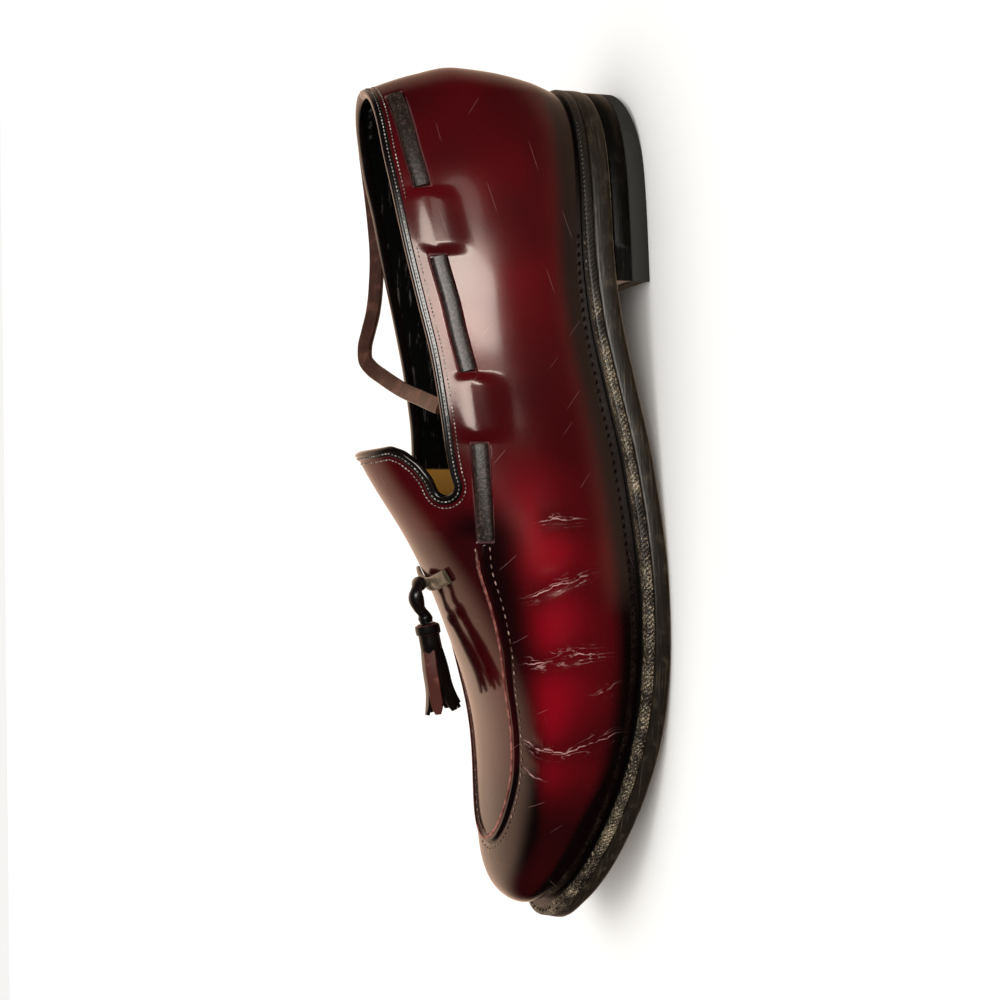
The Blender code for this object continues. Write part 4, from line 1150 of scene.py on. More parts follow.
@dataclass
class Upper:
    """The whole-cut upper: outer leather with tunnels, lace windows, apron seam and flex creases."""

    density: GridDensity = GridDensity()
    shading: Shading = Shading()
    edge_cover: float = 1.3
    toe_end: float = 299.7

    def stations(self) -> Array:
        """Stations of the rows, closer at the heel, the window ends and both ends of the shoe."""
        fine = np.linspace(0, self.toe_end, 6001)
        weight = np.ones(fine.shape)
        for centre, reach, power, strength in self.density.crowds:
            weight += strength * np.exp(-(((fine - centre) / reach) ** power))
        for windows in WINDOWS.values():
            for end in np.array(list(windows.values())).ravel():
                weight += self.density.ends * np.exp(-((fine - end) ** 2))
        total = np.concatenate([[0.0], np.cumsum((weight[1:] + weight[:-1]) / 2)])
        return np.interp(np.linspace(0, total[-1], self.density.rows + 1), total, fine)

    def turns(self, stations: Array) -> Array:
        """Places the columns: some follow the lace exactly, others crowd along the seam.

        Args:
            stations: stations of the rows.

        Returns:
            The turn of every column at every row.
        """
        density = self.density
        half, band = density.columns // 2, density.band
        below = int(half * density.below)
        above = half - below - 2 * band
        fine = np.linspace(0, 1, 601)
        rows = []
        for station in stations:
            length = float(np.mean(LAST.frame(np.full(9, max(station, 2.0)), np.linspace(0.2, 0.8, 9))[2]))
            lace = float(read_table(LACE_PATH, station))
            seam = min(float(read_table(APRON_SEAM, station)), 0.5)
            pitch = density.band_pitch * min(1.0, length / density.full_girth) / length
            strip = lace + pitch * np.arange(-band, band + 1)
            low = strip[0] * np.linspace(0, 1, below + 1)
            spots = strip[-1] + (0.5 - strip[-1]) * fine
            crowd = np.exp(-((((spots - seam) * length) / density.seam_width) ** 4))
            weight = 1 + density.seam * crowd * (density.seam_span[0] < station < density.seam_span[1])
            total = np.concatenate([[0.0], np.cumsum((weight[1:] + weight[:-1]) / 2)])
            high = np.interp(np.linspace(0, total[-1], above + 1), total, spots)
            side = np.concatenate([low[:-1], strip, high[1:]])
            rows.append(np.concatenate([side, 1 - side[-2::-1]]))
        return np.array(rows)

    def outer(self, station: Array, turn: Array) -> tuple[Array, dict[str, Array]]:
        """The outer face.

        Args:
            station: stations of its points.
            turn: their turns.

        Returns:
            The points in millimetres, and by name the values that the finish reads there.
        """
        point, normal, length = LAST.frame(station, turn)
        relief = tunnel_relief(station, turn, length) + SEAM.relief(point) * soft_step((station - 165.5) / 6)
        relief -= WINDOW_DEPTH * window_share(station, turn, length)
        near, along, across, dark = np.zeros((4, *station.shape))
        for number, crease in enumerate(CREASES):
            height, close, broad, mark, aside = crease.relief(point)
            relief += height
            dark = np.maximum(dark, broad)
            along = np.where(close > near, mark + self.shading.crease_spacing * number, along)
            across = np.where(close > near, aside, across)
            near = np.maximum(near, close)
        point = point + normal * relief[..., None]
        shading = self.shading
        foot = point[..., 2] - LAST.read("seat", station)
        toe = soft_step((station - 240) / 28)
        front = soft_step((station - 125) / 45)
        past_seam = np.minimum(turn, 1 - turn) - np.minimum(read_table(APRON_SEAM, station), 0.5)
        apron = soft_step(past_seam * length / 4.0 + 0.5) * soft_step((station - 160) / 8)
        seam = np.exp(-((distance_to(point, SEAM.points[::2]) / shading.seam) ** 4))
        # painted shade darkens the leather along the foot, where the upper turns under towards the welt; burnishing
        # darkens it beside the seam, on the apron, at the toe and at the heel
        burnish_and_shade = soft_step((12 - foot) / 7) + shading.beside_seam * seam * (1 - apron)
        burnish_and_shade += shading.apron * apron + shading.toe * toe + shading.heel * soft_step((26 - station) / 22)
        # painted light: a band of brighter red along the sides, lower, narrower and stronger towards the front,
        # fading at the toe, with painted shade in the creases and none on the apron
        height = np.exp(-(((foot - 36 + 5 * front) / (18 - 8.5 * front)) ** 2))
        painted_light = height * (shading.painted_light + shading.front_painted_light * front) * (1 - toe)
        painted_light *= (1 - shading.crease_shade * dark) * (1 - apron)
        window = window_share(station, turn, length)
        values = {
            "burnish_and_shade": np.clip(burnish_and_shade, 0, 1),
            "painted_light": painted_light,
            # painted highlight along the windows' cut edges
            "lip": 4 * window * (1 - window),
            "flexed": soft_step((station - 108) / 22) * (1 - 0.7 * apron),
            "crease_map": np.stack([along, across, near], axis=-1),
        }
        return point, values

    def build(self) -> list[Piece]:
        """Builds the outer skin and the lining inside it."""
        stations = self.stations()
        turns = self.turns(stations)
        values: dict[str, Array] = {}

        def place(column: Array, row: Array) -> Array:
            """Points of the outer face, whose values are kept."""
            station, turn = stations[row], turns[row, column]
            point, found = self.outer(station, turn)
            values.update(found)
            values["signed"] = COLLAR.signed(LAST.point(station, turn))
            point[row == 0, 0] = 0.0
            return point

        bm = mapped_grid(self.density.columns, self.density.rows, place)
        skin = self.opened(bm, self.density.columns, values, "upper_skin", Finishes.OXBLOOD)
        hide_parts("upper")
        return [skin, self.lining()]

    def lining(self) -> Piece:
        """Builds the lining, a smooth skin one wall inside the last's surface."""
        columns, rows = 120, 190
        stations = self.toe_end * np.sin(np.linspace(0, 1, rows + 1) * math.pi / 2) ** 1.05
        stations[-1] = self.toe_end - 1.5
        stations = np.unique(stations)
        values: dict[str, Array] = {}

        def place(column: Array, row: Array) -> Array:
            """Points one wall inside the last."""
            station, turn = stations[row], column / columns
            point, normal, _ = LAST.frame(station, turn)
            values["signed"] = COLLAR.signed(point)
            return point - normal * WALL

        bm = mapped_grid(columns, len(stations) - 1, place)
        lining = self.opened(bm, columns, values, "lining", Finishes.LINING)
        for polygon in lining.data.polygons:
            polygon.flip()
        return lining

    def opened(
        self, bm: Mesh, columns: int, values: dict[str, Array], name: str, finish: Finishes
    ) -> Piece:
        """Opens the collar in a full skin, closes its toe and back, and makes the piece.

        Args:
            bm: the full skin.
            columns: cells across it.
            values: what each vertex carries, with its distance from the collar's edge as "signed".
            name: the piece's name.
            finish: its finish.

        Returns:
            The piece.
        """
        signed = values.pop("signed")
        give_values(bm, values)
        reach = np.array([np.mean([signed[vert.index] for vert in face.verts]) for face in bm.faces])
        gone = [face for face, inside in zip(bm.faces, reach < self.edge_cover) if inside]
        bm.faces.new(bm.verts[-columns - 1 :])
        bmesh.ops.delete(bm, geom=gone, context="FACES")
        close_up(bm, NEAR_POINT, fill=False)
        middle = Vector(to_world(np.array([0.0, 150.0, 30.0])))
        outward = sum(face.normal.dot(face.calc_center_median() - middle) * face.calc_area() for face in bm.faces)
        if outward < 0:
            bmesh.ops.reverse_faces(bm, faces=bm.faces)
        return new_piece(name, bm, [finish.material()])


# ---- collar binding


@dataclass(frozen=True)
class Stitch:
    """Sizes of a row's stitches in millimetres, and their turn from the row in degrees."""

    pitch: float
    length: float
    width: float
    slant: float = 0.0


@dataclass
class Binding:
    """Black strip folded over the opening's edge, stitched through close to its lower side."""

    width: float = BINDING_WIDTH
    proud: float = BINDING_PROUD
    stitch: Stitch = Stitch(1.35, 0.95, 0.5)
    stitch_drop: float = 2.0
    row_drop: float = 4.2
    spacing: float = 0.9

    def line(self) -> tuple[Array, Array, Array]:
        """Rim points, outward normals and the direction down from the rim, round the whole opening."""
        stations, turns = march_edge(0.0)
        points, normals, _ = LAST.frame(stations, turns)
        points[[0, -1], 0] = 0.0
        loop = np.concatenate([points, points[:1]])
        marks = lengths_along(loop)
        even = np.linspace(0, marks[-1], int(marks[-1] / self.spacing) + 1)[:-1]
        points = self.evened(read_rows(even, marks, loop), 1)
        normals = unit(self.evened(read_rows(even, marks, np.concatenate([normals, normals[:1]])), 3))
        tangent = np.roll(points, -1, axis=0) - np.roll(points, 1, axis=0)
        return points, normals, unit(np.cross(tangent, normals))

    def evened(self, rows: Array, passes: int) -> Array:
        """Rows of a closed line averaged with their neighbours."""
        for _ in range(passes):
            rows = 0.25 * np.roll(rows, 1, axis=0) + 0.5 * rows + 0.25 * np.roll(rows, -1, axis=0)
        return rows

    def profile(self) -> Array:
        """Cross-section: distance down from the rim and height over the last, outside then inside."""
        out, inner = self.proud, -WALL - self.proud
        edge = [(self.width, -0.2), (self.width, out - 0.25), (self.width - 0.25, out), (2.3, out + 0.08)]
        bead = [(1.75, out - 0.14), (1.4, out + 0.02), (0.95, out + 0.2), (0.45, out + 0.08)]
        rim = [(0.12, -0.15), (0.0, -0.8), (0.0, -1.5), (0.12, inner + 0.5)]
        inside = [(0.5, inner), (self.width - 0.3, inner), (self.width, inner + 0.25), (self.width, inner + 0.6)]
        return np.array(edge + bead + rim + inside)

    def build(self) -> list[Piece]:
        """Builds the strip and its rows of stitches."""
        points, normals, down = self.line()
        bm = sweep(points, down, normals, self.profile(), loop=True)
        strip = new_piece("binding_strip", bm, [Finishes.BINDING.material()])
        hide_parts("collar_binding")
        near = points + down * self.stitch_drop + normals * (self.proud + 0.05)
        far = points + down * self.row_drop + normals * 0.1
        rows = (("binding_stitches", near), ("quarter_stitches", far))
        return [strip, *[stitch_row(name, row, normals, self.stitch, Finishes.BLACK_THREAD) for name, row in rows]]


def stitch_row(
    name: str, line: Array, normals: Array, stitch: Stitch, finish: Finishes, slot: str = "oxblood_leather"
) -> Piece:
    """Row of stitches, each a small rounded bead of thread half sunk in the leather.

    Args:
        name: the piece's name.
        line: points of the row in millimetres.
        normals: outward directions there.
        stitch: sizes of the stitches.
        finish: the thread's finish.
        slot: the record's material slot; not used.

    Returns:
        The piece.
    """
    marks = lengths_along(line)
    spots = np.arange(stitch.pitch / 2, marks[-1], stitch.pitch)
    centres, ahead, behind = (to_world(read_rows(spots + move, marks, line)) for move in (0.0, 0.3, -0.3))
    ups = read_rows(spots, marks, normals) * (1, -1, 1)
    bm = bmesh.new()
    for centre, forward, up in zip(centres, ahead - behind, ups):
        up = Vector(up).normalized()
        forward = (Vector(forward) - up * Vector(forward).dot(up)).normalized()
        turn = Matrix((forward, up.cross(forward), up)).transposed().to_4x4()
        turn.translation = Vector(centre)
        shape = Matrix.Diagonal((stitch.length / 2 * MM, stitch.width / 2 * MM, stitch.width * 0.36 * MM, 1.0))
        turn = turn @ Matrix.Rotation(math.radians(stitch.slant), 4, "Z") @ shape
        bmesh.ops.create_uvsphere(bm, u_segments=6, v_segments=4, radius=1.0, matrix=turn)
    return new_piece(name, bm, [finish.material()])


# ---- apron stitching


@dataclass
class ApronStitches:
    """Thread along both sides of the apron's ridge, and the cut edge that lies on it, painted paler red as the
    ridge's highlight.
    """

    # distance from the ridge's middle and sizes of each row
    rows: tuple[tuple[str, float, Stitch], ...] = (
        ("apron_outer_stitches", 3.3, Stitch(2.9, 1.7, 0.55)),
        ("apron_inner_stitches", -1.9, Stitch(2.9, 1.3, 0.55)),
    )
    edge_middle: float = -0.75

    def offset(self, away: float) -> tuple[Array, Array]:
        """The seam's line moved sideways along the last.

        Args:
            away: distance from the ridge's middle, away from the apron.

        Returns:
            Points on the leather and the normals there.
        """
        tangent = np.gradient(SEAM.points, axis=0)
        side = unit(np.cross(tangent, SEAM.normals))
        side *= np.sign(side[0] @ (LAST.point(SEAM.stations[0], SEAM.turns[0] - 0.02) - SEAM.points[0]))
        points = SEAM.points + side * away
        lift = 1.05 * SEAM_HEIGHT * float(soft_step(np.array(1.35 - abs(away) / SEAM_HALF_WIDTH)))
        return points + SEAM.normals * (lift + 0.05), SEAM.normals

    def build(self) -> list[Piece]:
        """Builds the two rows of thread and the ridge's cut edge."""
        pieces = [stitch_row(name, *self.offset(away), stitch, Finishes.THREAD) for name, away, stitch in self.rows]
        line, normals = (part[6:-6] for part in self.offset(self.edge_middle))
        across, normal = path_frames(line, normals)
        edge = sweep(line - normal * 0.2, across, normal, strap_profile(0.9, 0.3, 0.05, 0.1), loop=False)
        pieces.append(new_piece("apron_edge", edge, [Finishes.APRON_EDGE.material()]))
        return pieces


MEDIAL_SEAM = ((97.5, 0.742), (95.0, 0.790), (91.5, 0.850), (88.5, 0.910), (87.0, 0.975))


@dataclass
class MedialSeam:
    """The joining seam down the medial quarter: a folded edge with a row of small stitches before it."""

    stitch: Stitch = Stitch(1.6, 0.9, 0.4)
    beside: float = 1.1
    below_rim: float = 3.2
    thread_from: float = 0.45

    def build(self) -> list[Piece]:
        """Builds the edge and the stitches."""
        stations, turns = last_route(MEDIAL_SEAM, 100.0, 70)
        shown = COLLAR.signed(LAST.point(stations, turns)) > self.below_rim
        stations, turns = stations[shown], turns[shown]
        line, normals, lengths = LAST.frame(stations, turns)
        relief = tunnel_relief(stations, turns, lengths)[:, None]
        line = line + normals * relief
        across, normal = path_frames(line, normals)
        edge = sweep(line - normal * 0.25, across, normal, strap_profile(0.6, 0.3, 0.08, 0.12), loop=False)
        edge = new_piece("medial_seam_edge", edge, [Finishes.BINDING.material()])
        first = int(len(line) * self.thread_from)
        beside = line[first:] + across[first:] * self.beside + normal[first:] * 0.02
        thread = stitch_row("medial_seam_stitches", beside, normal[first:], self.stitch, Finishes.THREAD)
        return [edge, thread]


# ---- lace in its windows and over the vamp


VAMP_STRAP = (
    (177.2, 0.405), (178.6, 0.435), (179.9, 0.468), (180.5, 0.500), (179.9, 0.532),
    (178.6, 0.565), (177.2, 0.595),
)
STRAP_LIFT = 0.5


@dataclass
class LaceBars:
    """The flat lace where it shows in the quarters' windows and over the vamp."""

    floor_gap: float = 0.3

    def bar(self, stations: Array, turns: Array, low: float) -> Mesh:
        """One bar lying along a route on the last.

        Args:
            stations: stations of the route.
            turns: its turns.
            low: height of the bar's underside over the last.

        Returns:
            The bar's shape.
        """
        points, normals, _ = LAST.frame(stations, turns)
        across, normal = path_frames(points, normals)
        profile = strap_profile(LACE_WIDTH, LACE_THICKNESS, 0.4, 0.35)
        return sweep(points + normal * low, across, normal, profile, loop=False)

    def build(self) -> list[Piece]:
        """Builds the bars."""
        pieces = []
        low = -WINDOW_DEPTH + self.floor_gap
        shown = [(False, place) for place in WINDOWS[False]] + [(True, "front")]
        for medial, place in shown:
            side = "medial" if medial else "lateral"
            stations = np.linspace(*WINDOWS[medial][place], 30)
            name = f"lace_{side}_{place}"
            bm = self.bar(stations, lace_turn(stations, medial), low)
            bar = new_piece(f"{name}_bar", bm, [Finishes.LACE.material()])
            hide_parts(name)
            pieces.append(bar)
        bm = self.bar(*last_route(VAMP_STRAP, 1000.0, 40), STRAP_LIFT)
        strap = new_piece("vamp_strap_leather", bm, [Finishes.STRAP.material()])
        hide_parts("vamp_strap")
        return [*pieces, strap]


# ---- slack lace, knot and tassels


SLACK_ROUTE = (
    (14.0, -20.0, 85.3), (19.0, -24.3, 84.6), (25.0, -27.6, 83.4), (33.0, -30.8, 81.6),
    (47.0, -34.0, 79.2), (62.0, -34.2, 78.2), (74.0, -33.6, 78.9), (82.0, -32.7, 80.1),
    (89.5, -31.6, 82.2), (95.6, -30.4, 83.9), (100.0, -28.4, 84.3), (103.8, -25.2, 82.6),
    (107.0, -20.6, 79.8), (112.5, -8.0, 75.8), (116.5, 8.0, 73.3), (119.5, 21.0, 71.8),
    (120.4, 25.5, 71.2),
)
KNOT_ROUTE = (
    (195.4, -6.4, 67.9), (192.8, -6.2, 68.7), (189.4, -5.6, 71.0), (185.0, -3.4, 72.8),
    (181.0, 0.4, 72.6), (181.2, 4.6, 74.3), (184.8, 7.4, 75.6), (189.0, 7.0, 74.6),
    (191.7, 6.0, 72.4), (194.1, 5.6, 71.7),
)


def shoe_route(route: Table, count: int) -> Array:
    """Route rows (station, side, height) as an even curve of (side, station, height)."""
    return route_curve([(side, station, height) for station, side, height in route], count)


@dataclass
class SlackLace:
    """The lace's slack run: a flat band out of the medial rear window, over the side and into the shoe."""

    width: float = 5.6
    thickness: float = 2.0
    kink_start: float = 0.66
    kink_length: float = 0.1
    face: Triple = (0.7, 0.0, 0.7)
    face_inside: Triple = (0.93, 0.0, 0.37)

    def build(self) -> Piece:
        line = shoe_route(SLACK_ROUTE, 150)
        share = np.linspace(0, 1, len(line))[:, None]
        kink = soft_step((share - self.kink_start) / self.kink_length)
        ups = (1 - kink) * np.array(self.face) + kink * np.array(self.face_inside)
        across, normal = path_frames(line, ups)
        profile = strap_profile(self.width, self.thickness, 0.25, 0.4) - (0.0, self.thickness / 2)
        bm = sweep(line, across, normal, profile, loop=False)
        band = new_piece("slack_lace", bm, [Finishes.SLACK.material()])
        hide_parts("lace_slack")
        path = to_world(line)
        return band


@dataclass(frozen=True)
class TasselSizes:
    """Sizes of one tassel, in millimetres."""

    head_radius: float = 3.6
    head_length: float = 13.0
    ring_start: float = 0.4
    ring_length: float = 3.4
    ring_proud: float = 0.5
    strips: int = 6
    strip_width: float = 4.3
    strip_thickness: float = 1.2
    strip_start: float = 9.5
    strip_sway: tuple[float, float] = (0.25, 0.3)
    strip_uneven: float = 0.9
    tip_narrowing: float = 0.55
    brown_strip: int = 0
    brown_bow: float = 1.2
    brown_curl: float = 0.8


class Tassel:
    """A leather tassel: a wound head with its ring, and strips that hang from it."""

    AXES = {
        "lateral": ((194.5, 5.6, 71.6), (226.2, 5.8, 65.6)),
        "medial": ((195.8, -6.4, 67.8), (226.4, -8.0, 61.6)),
    }
    SPLAY = ((0.0, 2.7), (0.3, 3.4), (0.6, 3.6), (0.85, 4.5), (1.0, 5.6))

    def __init__(self, place: str, sizes: TasselSizes = TasselSizes()) -> None:
        """Places the tassel on its lace's end."""
        self.place = place
        self.sizes = sizes
        ends = np.array([(side, station, height) for station, side, height in self.AXES[place]])
        head, tip = (Vector(end) for end in to_world(ends))
        self.length = (tip - head).length / MM
        self.frame = (tip - head).to_track_quat("Z", "Y").to_matrix().to_4x4()
        self.frame.translation = head

    def turned(self, profile: Table) -> Mesh:
        """Closed round body on the tassel's axis.

        Args:
            profile: rows of radius and distance along the axis.

        Returns:
            The body's shape.
        """
        bm = bmesh.new()
        rows = np.array(profile) * MM
        bmesh.ops.create_cone(bm, cap_ends=True, segments=36, radius1=rows[0, 0], radius2=rows[-1, 0], depth=1.0)
        sides = [edge for edge in bm.edges if abs(edge.verts[0].co.z - edge.verts[1].co.z) > 0.5]
        bmesh.ops.subdivide_edges(bm, edges=sides, cuts=len(rows) - 2)
        for vert in bm.verts:
            row = int(round((vert.co.z + 0.5) * (len(rows) - 1)))
            flat = Vector((vert.co.x, vert.co.y, 0.0)).normalized() * rows[row, 0]
            vert.co = (flat.x, flat.y, rows[row, 1])
        bmesh.ops.transform(bm, matrix=self.frame, verts=bm.verts)
        bmesh.ops.recalc_face_normals(bm, faces=bm.faces)
        return bm

    def strip(self, bm: Mesh, number: int) -> None:
        """Adds one hanging strip, with its own small bend and length."""
        sizes = self.sizes
        angle = 2 * math.pi * (number + 0.5) / sizes.strips
        outward = np.array([math.cos(angle), math.sin(angle), 0.0])
        share = np.linspace(0, 1, 14)
        sway = (sizes.strip_sway[0] * math.sin(2.3 * number), sizes.strip_sway[1] * math.cos(1.7 * number))
        end = self.length - sizes.strip_uneven - sizes.strip_uneven * abs(math.sin(3.1 * number))
        along = sizes.strip_start + (end - sizes.strip_start) * share
        away = read_table(self.SPLAY, share) + sway[0] * share**2 * 1.5
        sideways = np.array([-outward[1], outward[0], 0.0])
        if number == sizes.brown_strip:
            away = away + sizes.brown_bow * np.sin(share * math.pi) - sizes.brown_curl * share**3
        path = outward * away[:, None] + sideways * (sway[1] * share**2 * 2)[:, None]
        path = path + np.column_stack([0 * along, 0 * along, along])
        across, normal = path_frames(path, np.broadcast_to(outward, path.shape))
        profile = strap_profile(sizes.strip_width, sizes.strip_thickness, 0.1, 0.3) - (0.0, sizes.strip_thickness / 2)
        narrowed = 1 - sizes.tip_narrowing * np.clip((share - 0.8) / 0.2, 0, 1) ** 2
        part = bmesh.new()
        bmesh.ops.create_grid(part, x_segments=len(profile), y_segments=len(path) - 1, size=1.0)
        for vert in part.verts:
            column = int(round((vert.co.x + 1) / 2 * len(profile))) % len(profile)
            row = int(round((vert.co.y + 1) / 2 * (len(path) - 1)))
            beside = across[row] * profile[column, 0] * narrowed[row]
            vert.co = (path[row] + beside + normal[row] * profile[column, 1]) * MM
        close_up(part, SAME_POINT)
        bmesh.ops.transform(part, matrix=self.frame, verts=part.verts)
        for face in part.faces:
            face.material_index = int(number == sizes.brown_strip)
        mesh = bpy.data.meshes.new("strip")
        part.to_mesh(mesh)
        part.free()
        bm.from_mesh(mesh)
        bpy.data.meshes.remove(mesh)

    def build(self) -> list[Piece]:
        """Builds the head, its ring and the strips."""
        sizes = self.sizes
        radius, length = sizes.head_radius, sizes.head_length
        leathers = [Finishes.TASSEL.material(), Finishes.TASSEL_EDGE.material()]
        wound = ((radius - 0.7, 0.0), (radius - 0.1, 0.35), (radius - 0.05, length * 0.5))
        body = self.turned((*wound, (radius + 0.05, length - 0.5), (radius - 0.5, length)))
        head = new_piece(f"tassel_{self.place}_head", body, leathers[:1])
        start, end, proud = sizes.ring_start, sizes.ring_start + sizes.ring_length, radius + sizes.ring_proud
        lower = ((proud - 0.6, start), (proud, start + 0.25), (proud + 0.1, (start + end) / 2))
        ring = self.turned((*lower, (proud, end - 0.25), (proud - 0.6, end)))
        axis = self.frame.col[2].to_3d().normalized()
        for face in ring.faces:
            face.material_index = int(abs(face.normal.dot(axis)) > 0.6)
        ring = new_piece(f"tassel_{self.place}_ring", ring, leathers)
        bm = bmesh.new()
        for number in range(sizes.strips):
            self.strip(bm, number)
        strips = new_piece(f"tassel_{self.place}_strips", bm, leathers)
        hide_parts(f"tassel_{self.place}")
        return [head, ring, strips]


@dataclass
class Knot:
    """The knot over the vamp, with a tassel on each of its ends."""

    radius: float = 2.2
    bulge: float = 0.5
    bulges: int = 4

    def build(self, tassels: Sequence[Piece]) -> Piece:
        line = shoe_route(KNOT_ROUTE, 90)
        across, normal = path_frames(line, np.broadcast_to([0.3, 0.2, 1.0], line.shape))
        angles = np.linspace(0, 2 * math.pi, 16, endpoint=False)
        circle = np.stack([np.cos(angles), np.sin(angles)], axis=-1)
        share = np.linspace(0, 1, len(line))
        ends = soft_step(np.minimum(share, 1 - share) / 0.05)
        radii = (self.radius + self.bulge * np.cos(share * self.bulges * 2 * math.pi)) * (0.75 + 0.25 * ends)
        bm = sweep(line, across, normal, circle[None] * radii[:, None, None], loop=False)
        knot = new_piece("knotted_lace", bm, [Finishes.TASSEL.material()])
        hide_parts("lace_knot")
        path = to_world(line)
        return knot


# ---- sole


REACH = (
    (
        (0.0, 1.5), (40.0, 3.0), (90.0, 5.0), (150.0, 6.0), (230.0, 5.0), (270.0, 4.2),
        (290.0, 4.2), (300.0, 6.4),
    ),
    ((0.0, 1.5), (40.0, 2.6), (100.0, 2.4), (150.0, 3.2), (210.0, 4.8), (290.0, 4.4), (300.0, 6.4)),
)
EDGE_THICKNESS = (
    (0.0, 10.3), (78.0, 10.3), (115.0, 9.9), (150.0, 9.4), (180.0, 9.25), (240.0, 9.0),
    (300.0, 8.2),
)
WELT_THICKNESS = 3.0
HEEL_LIFT = 6.4
HEEL_BREAST = 78.0
HEEL_INSET = 0.4
HEEL_WEAR = 4.2
HEEL_WEAR_REACH = 34.0
HEEL_WEAR_SPAN = 70.0
INSOLE_RISE = 2.5
FOOT_INSET = 3.0
GAP = 0.3


class FootLine:
    """The closed line of the upper's foot, with its outward directions and the sole's reach."""

    def __init__(self, count: int = 170) -> None:
        """Reads both sides of the foot from heel to toe and back."""
        stations = LENGTH * (1 - np.cos(np.linspace(0, math.pi, count))) / 2
        lateral = LAST.point(stations, np.zeros(count))[:, :2]
        medial = LAST.point(stations, np.ones(count))[:, :2]
        self.loop = np.concatenate([lateral, medial[-2:0:-1]])
        self.reach = np.concatenate([read_table(REACH[0], stations), read_table(REACH[1], stations)[-2:0:-1]])
        tangent = np.roll(self.loop, -1, axis=0) - np.roll(self.loop, 1, axis=0)
        self.outward = unit(np.stack([tangent[:, 1], -tangent[:, 0]], axis=-1))
        self.count = count

    def moved(self, reach_scale: float, inset: float) -> Array:
        """The closed line moved out by a share of the sole's reach, and in by an inset."""
        return self.loop + self.outward * (self.reach * reach_scale - inset)[:, None]

    def sides(self, reach_scale: float, inset: float) -> tuple[Array, Array]:
        """The moved line as its lateral and its medial side, both from heel to toe."""
        line = self.moved(reach_scale, inset)
        return line[: self.count], line[-np.arange(self.count)]

    def outer_sides(self, inset: float) -> tuple[Array, Array]:
        """The outsole's two sides."""
        return self.sides(1.0, inset)

    def inner_sides(self, inset: float) -> tuple[Array, Array]:
        """The insole's two sides, inside the welt's ring."""
        return self.sides(0.0, FOOT_INSET + GAP + inset)

    def heel_sides(self, inset: float) -> tuple[Array, Array]:
        """The heel's two sides, from its back to its flat breast."""
        sides = []
        for side in self.sides(1.0, inset + HEEL_INSET):
            behind = side[side[:, 1] < HEEL_BREAST - 1]
            breast = HEEL_BREAST - inset
            sides.append(np.concatenate([behind, [(np.interp(breast, side[:, 1], side[:, 0]), breast)]]))
        count = min(len(side) for side in sides)
        return tuple(np.concatenate([side[: count - 1], side[-1:]]) for side in sides)


def under_seat(flat: Array, depth: Array | float) -> Array:
    """Places square under the welt's top, which rises at the toe.

    Args:
        flat: side and station of each.
        depth: how far under the top.

    Returns:
        The points.
    """
    station = flat[..., 1]
    inside = np.clip(station, 1.0, LENGTH - 1.0)
    rise = (LAST.read("seat", inside + 1.0) - LAST.read("seat", inside - 1.0)) / 2
    height = LAST.read("seat", inside) + rise * (station - inside) - depth
    return np.stack([flat[..., 0], station + depth * np.maximum(rise, 0.0), height], axis=-1)


def tread_depth(station: Array) -> Array:
    """Depth of the outsole's underside under the welt's top."""
    return np.minimum(read_table(EDGE_THICKNESS, station), LAST.read("seat", np.clip(station, 0, LENGTH)))


def outsole_surface(flat: Array, share: float) -> Array:
    """Point of the outsole at a share of its thickness."""
    top = WELT_THICKNESS + 0.1
    return under_seat(flat, top + (tread_depth(flat[..., 1]) - top) * share)


def insole_surface(flat: Array, share: float) -> Array:
    """Point of the insole at a share of its thickness."""
    return under_seat(flat, -INSOLE_RISE + (WELT_THICKNESS + INSOLE_RISE) * share)


def stack_surface(flat: Array, share: float) -> Array:
    """Point of the heel's stack at a share of its height."""
    top = under_seat(flat, tread_depth(flat[..., 1]))[..., 2] - 0.1
    return np.concatenate([flat, (top + (HEEL_LIFT + 0.15 - top) * share)[..., None]], axis=-1)


def top_piece_surface(flat: Array, share: float) -> Array:
    """Point of the heel's rubber top piece, worn at its back lateral corner."""
    back = np.clip(1 - flat[..., 1] / HEEL_WEAR_REACH, 0, 1) ** 1.5
    floor = HEEL_WEAR * back * np.clip(0.55 + flat[..., 0] / HEEL_WEAR_SPAN, 0, 1)
    return np.concatenate([flat, (HEEL_LIFT + (floor - HEEL_LIFT) * share)[..., None]], axis=-1)


FOOT = FootLine()


